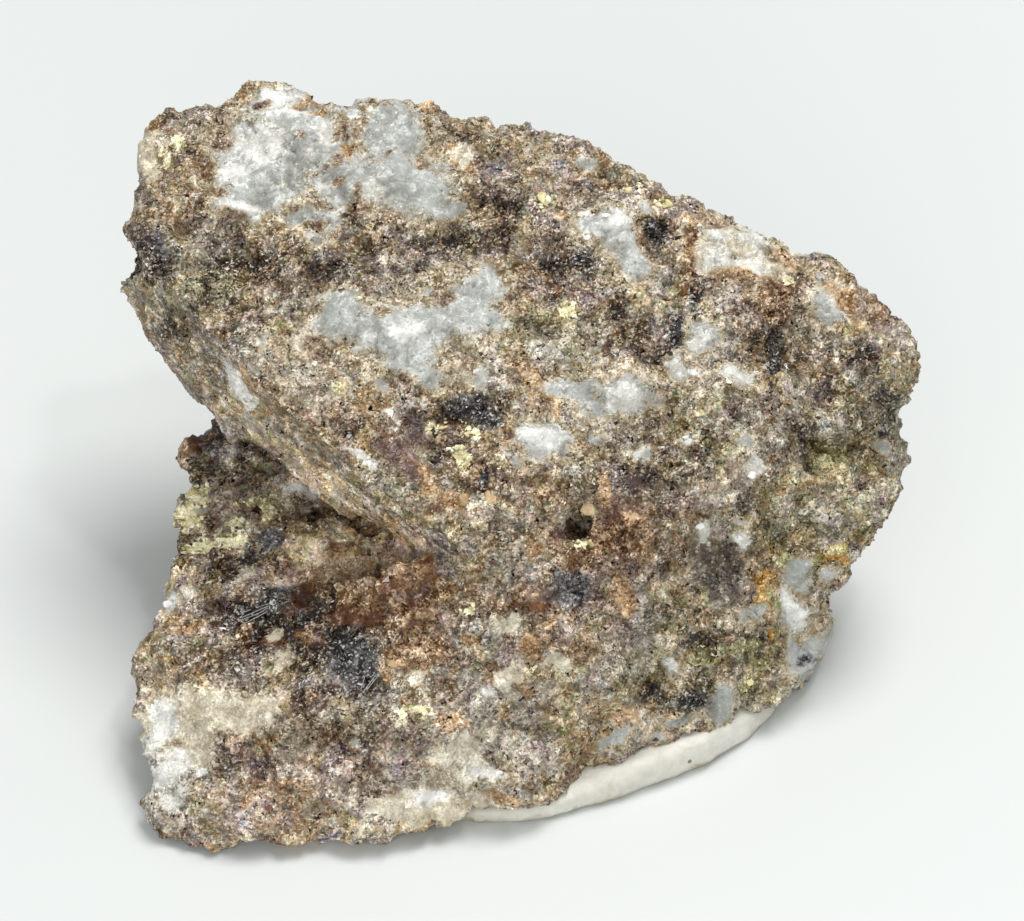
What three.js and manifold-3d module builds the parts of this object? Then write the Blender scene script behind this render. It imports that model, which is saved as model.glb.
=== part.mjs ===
// Sarcolite specimen: one broken fragment of granular rock, with a slab-like upper half
// that overhangs a lower block, propped level on a flattened wad of soft putty.
// Millimetres, +Z up, the origin under the middle of the specimen on the plane that it rests on.

import * as THREE from 'three';
import { ConvexGeometry } from 'three/addons/geometries/ConvexGeometry.js';
import { TessellateModifier } from 'three/addons/modifiers/TessellateModifier.js';
import { ImprovedNoise } from 'three/addons/math/ImprovedNoise.js';
import { mergeVertices } from 'three/addons/utils/BufferGeometryUtils.js';
import Module from 'manifold-3d';

const wasm = await Module();
wasm.setup();

// Driving dimensions.
const rockWidth = 48; // greatest width of the rock, left to right
const eyeDistance = 250; // from the eye that the outline is drawn from to the middle of the rock
const eyeElevation = THREE.MathUtils.degToRad(42); // how far that eye looks down
const middleHeight = 14; // height of the point that the eye looks at
const puttyGap = 0.35; // clearance between the rock and the putty under it

// Sizes of the surface relief.
const faceEdge = 2.6; // longest edge of a facet once the faces are divided
const softening = 1; // rounds of smoothing that take the knife edge off the broken corners
const grainSize = 2.7; // spacing of the coarse grains that the rock breaks along
const grainRelief = 0.42; // how far a grain stands out of the surface, or lies under it

// The eye, and the two directions across its view. Points of the rock are given as
// [across, up, height]: where the point is seen from the eye, in millimetres on a plane
// through the middle of the rock, and how high it lies above the resting plane.
const middle = new THREE.Vector3(0, 0, middleHeight);
const acrossView = new THREE.Vector3(1, 0, 0);
const upView = new THREE.Vector3(0, Math.sin(eyeElevation), Math.cos(eyeElevation));
const toEye = new THREE.Vector3(0, -Math.cos(eyeElevation), Math.sin(eyeElevation));
const eye = middle.clone().addScaledVector(toEye, eyeDistance);

function onSightPlane(across, up) {
  return middle.clone().addScaledVector(acrossView, across).addScaledVector(upView, up);
}

function seen([across, up, height]) {
  const direction = onSightPlane(across, up).sub(eye);
  return eye.clone().addScaledVector(direction, (height - eye.z) / direction.z);
}

function asSeen(point) {
  const direction = point.clone().sub(eye);
  const reach = eyeDistance / -direction.dot(toEye);
  const onPlane = eye.clone().addScaledVector(direction, reach).sub(middle);
  return new THREE.Vector2(onPlane.dot(acrossView), onPlane.dot(upView));
}

// Solids: three.js geometry to a manifold and back.
function solidOf(geometry) {
  const bare = geometry.clone();
  bare.deleteAttribute('normal');
  bare.deleteAttribute('uv');
  const merged = mergeVertices(bare, 1e-4);
  return new wasm.Manifold(new wasm.Mesh({
    numProp: 3,
    vertProperties: Float32Array.from(merged.attributes.position.array),
    triVerts: Uint32Array.from(merged.index.array),
  }));
}

function geometryOf(solid) {
  const mesh = solid.getMesh();
  const geometry = new THREE.BufferGeometry();
  geometry.setAttribute('position', new THREE.Float32BufferAttribute(mesh.vertProperties, 3));
  geometry.setIndex(Array.from(mesh.triVerts));
  return geometry;
}

// A cut can leave a crumb beside the body: only the body is kept.
function withoutCrumbs(solid) {
  return solid.decompose().reduce((largest, piece) => (piece.volume() > largest.volume() ? piece : largest));
}

function hull(seenPoints, hiddenPoints) {
  const hidden = hiddenPoints.map(([x, y, z]) => new THREE.Vector3(x, y, z));
  return solidOf(new ConvexGeometry([...seenPoints.map(seen), ...hidden]));
}

// The upper slab: its top slopes down toward the front. Its front left side is a steep,
// slightly undercut face that narrows to a point near the middle of the rock.
const slab = hull([
  [-22.7, 21.4, 26.2], [-15.6, 22.9, 27.2], [-10.0, 21.8, 27.0], [-4.9, 21.8, 26.8], [3.2, 20.1, 26.3],
  [7.4, 18.0, 25.6], [11.6, 15.8, 24.6], [16.9, 13.4, 23.2], [20.9, 12.7, 22.2], [24.2, 9.2, 19.8],
  [25.8, 5.6, 17.2], [24.2, 2.2, 14.6], [11.3, -0.6, 17.2], [-1.7, -6.2, 14.2],
  [-23.5, 13.5, 24.4], [-21.7, 10.9, 22.9], [-17.8, 7.6, 21.8], [-13.3, 3.1, 19.9], [-10.3, 0.6, 18.7],
  [-7.0, -1.2, 17.6], [-4.9, -3.0, 16.4],
  [-23.9, 9.8, 18.8], [-21.6, 5.6, 15.2], [-19.6, 3.4, 13.3], [-17.6, 2.4, 12.9], [-15.4, 0.4, 12.1],
  [-12.9, -1.2, 11.7], [-8.0, -4.5, 11.0], [-3.4, -6.5, 12.2],
], [
  [-21.8, 16.0, 21.0], [-15.0, 11.0, 14.0], [4.0, 10.0, 10.0], [18.0, 6.0, 12.0],
]);

// The lower half: on the left a slope down to the resting plane, and on the right one broad
// face that leans back and turns under at its foot.
const lowerHalf = hull([
  [-17.9, 2.6, 10.4], [-20.2, 1.4, 10.0], [-20.8, -3.2, 9.4], [-21.3, -7.4, 8.0], [-22.8, -10.8, 6.4],
  [-23.4, -13.8, 4.9], [-23.0, -17.8, 2.6], [-22.4, -20.8, 1.1], [-21.4, -23.7, 0.0], [-17.2, -24.0, 0.0],
  [-12.7, -23.4, 0.0], [-4.4, -23.9, 0.0], [-12.7, -8.6, 9.6], [-6.0, -7.6, 11.6],
  [-2.8, -6.3, 13.0], [-1.7, -6.2, 14.0], [11.3, -0.6, 17.0], [23.9, 2.4, 14.5], [24.8, 0.2, 12.4],
  [24.0, -2.2, 10.8], [22.6, -5.6, 8.3], [19.6, -8.2, 5.5], [19.9, -12.0, 2.4], [18.0, -15.3, 0.3],
  [11.5, -18.3, 0.3], [5.4, -20.8, 0.0], [-0.7, -21.8, 0.0], [-3.6, -14.4, 8.2], [2.6, -14.2, 6.6],
  [3.4, -11.2, 9.6], [9.6, -9.4, 9.8],
], [
  [-12.0, 7.0, 9.0], [-10.0, 7.0, 0.0], [14.0, 7.0, 0.0], [20.0, 6.5, 9.0], [16.0, -4.0, 0.0],
]);

// The space over the ledge, open to the left under the overhang of the slab.
const overLedge = hull([], [
  [-27.0, 14.0, 9.4], [-26.0, -6.0, 8.7], [-12.5, -7.6, 9.1], [-5.0, -7.2, 11.6], [-4.0, -2.0, 11.6],
  [-7.0, 9.0, 9.6], [-27.0, 14.0, 20.0], [-26.0, -6.0, 20.0], [-12.5, -7.6, 20.0], [-5.0, -7.2, 20.0],
  [-4.0, -2.0, 20.0], [-7.0, 9.0, 20.0],
]);

// A glassy brown crystal that stands at the back of the ledge.
const cornerCrystal = hull([
  [-20.3, 0.4, 8.6], [-19.9, 1.4, 9.6], [-18.6, 2.3, 10.9], [-17.0, 2.6, 11.3], [-16.6, 1.4, 10.6],
  [-17.4, 0.6, 9.4], [-19.4, -0.2, 9.0],
], [
  [-19.0, 9.0, 8.0], [-15.0, 8.0, 8.0], [-17.0, 4.0, 8.0], [-16.0, 8.6, 10.6],
]);

// The back, which leans in from the far edge of the slab down to the foot.
const back = hull([
  [-21.4, 20.0, 25.2], [-15.4, 21.8, 26.2], [-4.9, 20.6, 25.8], [7.2, 17.0, 24.6], [16.6, 12.6, 22.2],
  [24.6, 6.6, 17.0], [23.4, 2.6, 14.3],
], [
  [-17.0, 15.0, 17.0], [-8.0, 17.5, 14.0], [4.0, 16.5, 13.0], [15.0, 10.5, 12.0], [20.0, 6.0, 10.0],
  [16.5, 1.0, 3.0], [-11.0, 8.0, 0.0], [-3.0, 11.5, 0.0], [6.0, 11.0, 0.0], [12.0, 6.0, 0.0], [-8.0, 0.0, 0.0],
]);

// The outline of the rock, clockwise from the top left corner, as [across, up].
const outline = [
  [-22.1, 19.9], [-21.8, 20.6], [-21.0, 21.0], [-20.4, 20.9], [-19.9, 20.7], [-18.4, 20.9], [-17.7, 20.9],
  [-17.0, 21.3], [-16.5, 21.5], [-16.2, 22.1], [-15.4, 22.3], [-13.6, 22.3], [-12.7, 22.0], [-11.2, 21.5],
  [-10.0, 21.2], [-9.4, 21.4], [-8.2, 21.2], [-6.4, 21.4], [-5.1, 21.4], [-4.5, 20.9], [-3.6, 20.3],
  [-1.0, 20.3], [0.3, 20.4], [1.9, 20.0], [3.2, 19.4], [4.1, 19.2], [5.6, 18.0], [7.3, 17.2], [8.3, 16.3],
  [9.6, 15.8], [10.7, 15.6], [11.6, 14.9], [13.7, 14.0], [15.5, 13.3], [16.4, 12.8], [16.8, 12.3],
  [17.2, 12.3], [18.1, 12.4], [19.6, 12.0], [20.3, 11.3], [20.6, 10.4], [21.2, 10.1], [22.7, 9.0],
  [23.6, 8.0], [23.6, 7.4], [24.4, 6.3], [24.8, 5.6], [24.6, 4.7], [23.8, 4.1], [22.8, 2.9], [23.2, 2.4],
  [23.0, 1.8], [23.8, 1.0], [23.9, 0.0], [23.2, -1.2], [23.4, -2.1], [22.7, -3.1], [22.0, -4.2],
  [21.2, -5.2], [20.4, -6.0], [19.9, -7.0], [19.1, -7.8], [18.6, -7.9], [18.9, -10.2], [18.5, -11.4],
  [18.0, -12.5], [17.1, -13.5], [16.3, -14.2], [15.4, -14.8], [14.2, -15.5], [13.0, -16.1], [11.3, -16.2],
  [10.6, -16.4], [9.8, -17.2], [8.0, -17.9], [6.5, -18.5], [4.4, -19.3], [2.9, -20.1], [0.5, -20.6],
  [-0.7, -21.0], [-2.4, -20.9], [-3.7, -21.6], [-4.9, -22.4], [-6.2, -22.4], [-7.6, -22.7], [-10.9, -22.8],
  [-12.7, -22.9], [-13.9, -23.1], [-16.6, -23.1], [-18.1, -23.6], [-19.6, -23.6], [-20.5, -23.0],
  [-21.1, -22.3], [-21.7, -20.7], [-21.4, -19.8], [-21.3, -18.8], [-21.8, -17.4], [-22.4, -15.2],
  [-22.7, -13.8], [-22.4, -11.4], [-21.9, -10.2], [-20.9, -9.1], [-20.7, -7.8], [-20.3, -6.6],
  [-20.2, -5.2], [-19.9, -4.4], [-20.2, -3.1], [-19.7, -2.3], [-19.3, -1.5], [-19.4, -0.7], [-19.9, 0.2],
  [-19.5, 1.0], [-18.1, 2.1], [-17.6, 2.5], [-18.3, 3.2], [-19.7, 4.1], [-20.8, 5.9], [-21.9, 7.5],
  [-22.4, 8.4], [-23.2, 9.8], [-23.2, 10.3], [-22.4, 11.4], [-22.2, 12.2], [-22.7, 13.0], [-22.9, 13.8],
  [-22.4, 14.6], [-22.5, 15.7], [-22.3, 16.3], [-22.2, 18.1],
];

// Everything that the eye sees inside the outline: the outline as a long block,
// widened with its distance from the eye.
function outlineCone() {
  const shape = new THREE.Shape(outline.map(([across, up]) => new THREE.Vector2(across, up)));
  const depth = 2.5 * rockWidth;
  const block = new THREE.ExtrudeGeometry(shape, { depth, bevelEnabled: false });
  const place = block.attributes.position;
  for (let i = 0; i < place.count; i += 1) {
    const towardEye = place.getZ(i) - depth / 2;
    const onPlane = onSightPlane(place.getX(i), place.getY(i));
    const point = eye.clone().lerp(onPlane, 1 - towardEye / eyeDistance);
    place.setXYZ(i, point.x, point.y, point.z);
  }
  return solidOf(block);
}

// Ribs along the front left face of the slab, each from its [across, up, height] at the
// left, where it is thickest, to the place near the point where it runs out.
const ribs = [
  [[-20.8, 8.5, 20.2], [-5.2, -4.2, 14.9]],
  [[-20.8, 7.5, 19.0], [-7.0, -3.4, 14.6]],
  [[-20.2, 6.6, 18.1], [-8.2, -3.1, 13.5]],
];
const ribRadius = 0.45;
const ribbedFace = new THREE.Vector3(-0.73, -0.67, -0.17); // the way that this face looks

function makeRib([start, end]) {
  const corners = [
    seen(start).add(new THREE.Vector3(-ribRadius, -ribRadius, 0)),
    seen(start).add(new THREE.Vector3(ribRadius, ribRadius, ribRadius)),
    seen(start).add(new THREE.Vector3(ribRadius, ribRadius, -ribRadius)),
  ];
  const tip = seen(end).addScaledVector(ribbedFace, ribRadius / 2);
  return solidOf(new ConvexGeometry([...corners, tip]));
}

// Lumps (rise above 0) and hollows (below 0) of the surface, as [across, up, radius, rise].
const reliefs = [
  [-14.5, 20.6, 2.8, 0.7], [-9.0, 17.6, 3.2, 0.5], [-20.6, 17.4, 2.2, 0.4], [20.4, 9.2, 2.6, 0.8],
  [16.4, 14.2, 2.2, 0.4], [-20.0, 12.4, 1.7, -0.6], [-16.6, 12.6, 1.8, -0.7], [-13.2, 12.2, 1.7, -0.6],
  [-9.8, 12.4, 1.7, -0.5], [-6.4, 12.8, 1.8, -0.5], [3.6, 11.4, 2.0, -0.5], [-8.4, 8.0, 2.8, 0.4],
  [-3.0, 4.0, 1.7, -0.7], [9.8, 10.2, 1.6, -0.5], [15.8, 7.6, 1.8, -0.5], [4.1, -3.6, 0.8, -1.6],
  [5.0, -2.6, 0.9, 0.5], [12.2, -6.6, 1.8, -0.8], [8.4, -14.4, 2.0, -0.5], [10.8, -14.3, 1.4, -0.5],
  [-11.5, -9.0, 2.6, -0.7], [-8.6, -12.6, 1.6, -0.6], [-17.2, -15.4, 3.0, 0.7], [-20.4, -18.6, 1.8, 0.5],
  [2.0, -9.0, 2.6, 0.5], [16.0, -12.0, 2.4, -0.5], [20.0, -3.4, 2.4, 0.5],
];

function dividedFaces(solid) {
  const divided = new TessellateModifier(faceEdge, 24).modify(geometryOf(solid));
  return mergeVertices(divided, 1e-4);
}

function soften(geometry, rounds) {
  const place = geometry.attributes.position;
  const corners = geometry.index.array;
  for (let round = 0; round < rounds; round += 1) {
    const sums = Array.from({ length: place.count }, () => new THREE.Vector4(0, 0, 0, 0));
    for (let i = 0; i < corners.length; i += 3) {
      for (let side = 0; side < 3; side += 1) {
        const a = corners[i + side];
        const b = corners[i + ((side + 1) % 3)];
        sums[a].add(new THREE.Vector4(place.getX(b), place.getY(b), place.getZ(b), 1));
      }
    }
    sums.forEach((sum, i) => {
      const mean = new THREE.Vector3(sum.x, sum.y, sum.z).divideScalar(sum.w);
      const point = new THREE.Vector3().fromBufferAttribute(place, i).lerp(mean, 0.5);
      place.setXYZ(i, point.x, point.y, point.z);
    });
  }
}

const noise = new ImprovedNoise();
function waves(point, length, shift = 0) {
  return noise.noise(point.x / length + 31.7 + shift, point.y / length + 12.3, point.z / length + 7.9);
}

// A number from 0 to 1 that belongs to one cell of a grid.
function cellNumber(cell, kind) {
  const wave = 43758.5453 * Math.sin(127.1 * cell.x + 311.7 * cell.y + 74.7 * cell.z + 19.2 * kind);
  return wave - Math.floor(wave);
}

// The rise of the grain that a point lies in: the grain whose centre is nearest.
function grainRise(point) {
  const home = point.clone().divideScalar(grainSize).floor();
  let nearest = Infinity;
  let rise = 0;
  for (let step = 0; step < 27; step += 1) {
    const offset = new THREE.Vector3(step % 3, Math.floor(step / 3) % 3, Math.floor(step / 9)).subScalar(1);
    const cell = home.clone().add(offset);
    const inCell = new THREE.Vector3(cellNumber(cell, 1), cellNumber(cell, 2), cellNumber(cell, 3));
    const away = cell.clone().add(inCell).multiplyScalar(grainSize).distanceTo(point);
    if (away < nearest) {
      nearest = away;
      rise = grainRelief * (2 * cellNumber(cell, 4) - 1);
    }
  }
  return rise;
}

function reliefRise(point) {
  const spot = asSeen(point);
  return reliefs.reduce((rise, [across, up, radius, lift]) => {
    const away = spot.distanceTo(new THREE.Vector2(across, up)) / radius;
    return rise + lift * Math.exp(-away * away);
  }, 0);
}

// Moves the corners of the divided faces: each slides a little, so that the facets lose their
// rows, and rises or sinks with the waves, the grains and, where the eye sees it, the reliefs.
function roughen(geometry) {
  geometry.computeVertexNormals();
  const place = geometry.attributes.position;
  const normals = geometry.attributes.normal;
  for (let i = 0; i < place.count; i += 1) {
    const point = new THREE.Vector3().fromBufferAttribute(place, i);
    const normal = new THREE.Vector3().fromBufferAttribute(normals, i);
    const facing = normal.dot(toEye);
    const slide = new THREE.Vector3(waves(point, 2.1), waves(point, 2.1, 40), waves(point, 2.1, 80));
    const smooth = THREE.MathUtils.smoothstep(normal.dot(ribbedFace), 0.8, 0.95);
    const roughness = 0.9 * waves(point, 7.3) + 0.55 * waves(point, 3.4) + grainRise(point);
    let rise = roughness * (0.3 + 0.7 * Math.abs(facing)) * (1 - 0.7 * smooth);
    if (facing > 0) {
      rise += reliefRise(point);
    }
    point.addScaledVector(normal, rise).addScaledVector(slide, 0.7);
    place.setXYZ(i, point.x, point.y, point.z);
  }
  geometry.deleteAttribute('normal');
}

function halfSpaceAbove(height) {
  const block = new THREE.BoxGeometry(2.5 * rockWidth, 2.5 * rockWidth, 2 * rockWidth);
  block.translate(0, 0, height + rockWidth);
  return solidOf(block);
}

// The wad of putty under the right front of the rock: [across, up] of its foot and the
// height of its shoulder there. Its edge swells a little beyond foot and shoulder.
const puttyEdge = [
  [-3.1, -21.4, 0.3], [-1.3, -21.5, 0.5], [0.5, -21.5, 0.7], [2.2, -21.4, 0.9], [3.8, -20.9, 1.2],
  [5.6, -20.3, 1.4], [7.6, -19.7, 1.6], [9.8, -18.9, 1.8], [11.6, -18.2, 1.9], [12.9, -17.4, 1.8],
  [13.9, -16.7, 1.5], [14.9, -15.7, 1.2], [15.7, -14.8, 0.9], [16.5, -13.9, 0.5],
];
const puttySwell = 0.25; // how far the edge stands out at half height
const puttyDepth = 8.5; // how far the wad reaches back under the rock

function puttyPoints(clearance) {
  const points = [];
  puttyEdge.forEach(([across, up, shoulder]) => {
    const foot = seen([across, up, 0]);
    const inward = new THREE.Vector3(-0.45, 1, 0).normalize();
    const profile = [[0.1, -0.1], [-puttySwell, 0.35], [-puttySwell, 0.6], [0, 0.88], [0.35, 1]];
    profile.forEach(([back, rise]) => {
      const point = foot.clone().addScaledVector(inward, back - clearance);
      points.push(point.setZ(shoulder * rise + (rise > 0.5 ? clearance : 0)));
    });
    const rear = foot.clone().addScaledVector(inward, puttyDepth * Math.sqrt(shoulder / 2));
    points.push(rear.clone().setZ(0.7 * shoulder + clearance), rear.clone().setZ(-0.2));
  });
  return points;
}

function makePutty(clearance) {
  return solidOf(new ConvexGeometry(puttyPoints(clearance))).intersect(halfSpaceAbove(0));
}

function makeRock() {
  const joined = slab.add(lowerHalf.subtract(overLedge)).add(cornerCrystal).add(back);
  const surface = dividedFaces(joined);
  soften(surface, softening);
  roughen(surface);
  const whole = ribs.map(makeRib).reduce((rock, rib) => rock.add(rib), solidOf(surface));
  return whole.intersect(outlineCone()).intersect(halfSpaceAbove(0));
}

const putty = makePutty(0);
const rock = withoutCrumbs(makeRock().subtract(makePutty(puttyGap)));

function meshOf(name, solid, finish) {
  const geometry = geometryOf(solid);
  geometry.computeVertexNormals();
  const mesh = new THREE.Mesh(geometry, new THREE.MeshStandardMaterial(finish));
  mesh.name = name;
  return mesh;
}

const specimen = new THREE.Group();
specimen.add(meshOf('rock', rock, { color: 0x7a6656, roughness: 0.75, metalness: 0 }));
specimen.add(meshOf('putty_pad', putty, { color: 0xe8e4da, roughness: 0.6, metalness: 0 }));

// The origin goes under the middle of the whole specimen.
const extent = new THREE.Box3().setFromObject(specimen);
const centre = extent.getCenter(new THREE.Vector3());
specimen.children.forEach((mesh) => mesh.position.set(-centre.x, -centre.y, -extent.min.z));

export default specimen;
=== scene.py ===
import math
import bmesh
import bpy
import numpy as np
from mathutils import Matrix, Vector


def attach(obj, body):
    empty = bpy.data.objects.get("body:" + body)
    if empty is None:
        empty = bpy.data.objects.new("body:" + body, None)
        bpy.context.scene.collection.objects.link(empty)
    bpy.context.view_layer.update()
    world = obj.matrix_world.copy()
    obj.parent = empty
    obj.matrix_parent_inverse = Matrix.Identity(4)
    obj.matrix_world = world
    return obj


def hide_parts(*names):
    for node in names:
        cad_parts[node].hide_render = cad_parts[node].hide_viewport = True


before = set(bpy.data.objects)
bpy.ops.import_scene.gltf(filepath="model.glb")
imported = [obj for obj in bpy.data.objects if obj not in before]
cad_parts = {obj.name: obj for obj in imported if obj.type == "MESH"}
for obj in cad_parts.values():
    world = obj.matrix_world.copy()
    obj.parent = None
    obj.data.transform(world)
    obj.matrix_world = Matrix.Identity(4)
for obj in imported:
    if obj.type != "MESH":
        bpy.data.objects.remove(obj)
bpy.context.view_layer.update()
print("frame loaded")

# Where the specimen is looked at from. Every patch below is placed by [across, up], in
# millimetres from the middle of this view, as it is seen from there.
sight = {
    "point": (-0.00071, -0.00057, 0.014),
    "distance": 0.25,
    "elevation": 42.0,
    "width": 0.06144,
}
millimetres = 1000  # in a metre
tilt = math.radians(sight["elevation"])
sightPoint = np.array(sight["point"])
toEye = np.array((0, -math.cos(tilt), math.sin(tilt)))
upView = np.array((0, math.sin(tilt), math.cos(tilt)))
eyePlace = sightPoint + toEye * sight["distance"]


def acrossAndUp(points):
    ray = points - eyePlace
    reach = sight["distance"] / -(ray @ toEye)
    onPlane = eyePlace + ray * reach[:, None] - sightPoint
    return np.stack((onPlane[:, 0], onPlane @ upView), axis=1) * millimetres


# Noise on points. Sizes are in metres, and each kind is a pattern of its own.
scramble = {"way": np.array((127.1, 311.7, 74.7)), "kind": 19.2, "stretch": 43758.5453}


def cellRandom(cells, kind):
    wave = np.sin(cells @ scramble["way"] + scramble["kind"] * kind) * scramble["stretch"]
    return wave - np.floor(wave)


def eased(part):
    return part * part * (3 - 2 * part)


def between(value, low, high):  # smooth step from 0 at low to 1 at high
    return eased(np.clip((value - low) / (high - low), 0, 1))


def softNoise(points, size, kind=0):  # from -1 to 1
    spot = points / size + 17.3 * kind
    home = np.floor(spot)
    part = eased(spot - home)
    value = np.zeros(len(points))
    for corner in np.ndindex(2, 2, 2):
        step = np.array(corner)
        weight = np.prod(np.where(step, part, 1 - part), axis=1)
        value += weight * cellRandom(home + step, kind)
    return 2 * value - 1


def brokenFacets(points, size, kind=0):  # each cell is one flat tilted facet, about -1 to 1 high
    spot = points / size + 5.1 * kind
    home = np.floor(spot)
    nearest = np.full(len(points), np.inf)
    height = np.zeros(len(points))
    for corner in np.ndindex(3, 3, 3):
        cell = home + np.array(corner) - 1
        centre = cell + np.stack([cellRandom(cell, kind + k) for k in (1, 2, 3)], axis=1)
        away = spot - centre
        distance = np.linalg.norm(away, axis=1)
        slope = np.stack([cellRandom(cell, kind + k) for k in (4, 5, 6)], axis=1) - 0.5
        plane = 2 * cellRandom(cell, kind + 7) - 1 + 1.8 * np.sum(away * slope, axis=1)
        closer = distance < nearest
        height = np.where(closer, plane, height)
        nearest = np.where(closer, distance, nearest)
    return height


def meshArray(mesh, what):
    values = np.empty(len(mesh.vertices) * 3, dtype=np.float32)
    mesh.vertices.foreach_get(what, values)
    return values.reshape(-1, 3).astype(np.float64)


def storePoints(mesh, points, lowest=0.0):
    points[:, 2] = np.maximum(points[:, 2], lowest)
    mesh.vertices.foreach_set("co", points.astype(np.float32).ravel())
    mesh.update()


def meshValues(mesh, name):
    values = np.empty(len(mesh.vertices), dtype=np.float32)
    mesh.attributes[name].data.foreach_get("value", values)
    return values.astype(np.float64)


def storeValues(mesh, name, values):
    attribute = mesh.attributes.new(name, "FLOAT", "POINT")
    attribute.data.foreach_set("value", np.asarray(values, dtype=np.float32))


def newPiece(name, mesh):
    piece = bpy.data.objects.new(name, mesh)
    bpy.context.scene.collection.objects.link(piece)
    return piece


def plainMesh(piece):  # the piece with its modifiers made real
    graph = bpy.context.evaluated_depsgraph_get()
    return bpy.data.meshes.new_from_object(piece.evaluated_get(graph))


def fineCopy(node, cell, smoothing):
    source = bmesh.new()
    source.from_mesh(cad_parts[node].data)
    bmesh.ops.remove_doubles(source, verts=source.verts, dist=1e-6)
    mesh = bpy.data.meshes.new(node + "Fine")
    source.to_mesh(mesh)
    source.free()
    mesh.materials.clear()
    piece = newPiece(node + "Fine", mesh)
    remesh = piece.modifiers.new("Remesh", "REMESH")
    remesh.mode = "VOXEL"
    remesh.voxel_size = cell
    remesh.use_smooth_shade = True
    smooth = piece.modifiers.new("Smooth", "SMOOTH")
    smooth.factor = 0.5
    smooth.iterations = smoothing
    fine = plainMesh(piece)
    bpy.data.objects.remove(piece)
    return fine


# The rock's surface
rockShape = {
    "cell": 0.00026,
    "smoothing": 3,
    "lumps": (0.0052, 0.00016),  # size and height of each kind of relief
    "blocks": (0.0024, 0.00028),
    "grains": (0.0011, 0.00018),
    "sugar": (0.00055, 0.00009),
    "ribs": (0.0010, 0.00020),
    "pit": (4.1, -3.6, 0.5),  # across, up and radius, in millimetres
    "pitDepth": 0.0013,
    "fullHeight": 0.0004,  # a point this far out counts as fully raised
    "bends": ((0.5, 0.0024, 11), (0.3, 0.0009, 13)),  # the patches' edges: by how much, size, kind
}
sideFace = {
    "outward": np.array((-0.66, -0.73, -0.17)),
    "squarely": (0.72, 0.9),  # how squarely a point faces outward where the face starts and is full
    "foot": (0.0105, 0.0125),  # the heights where it starts and is full
    "ribWay": np.array((0.78, -0.52, -0.34)),
    "drawnOut": 0.93,  # how far its ribs are drawn out
    "calm": 0.6,  # how much lower the broken relief is on it
}

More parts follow.
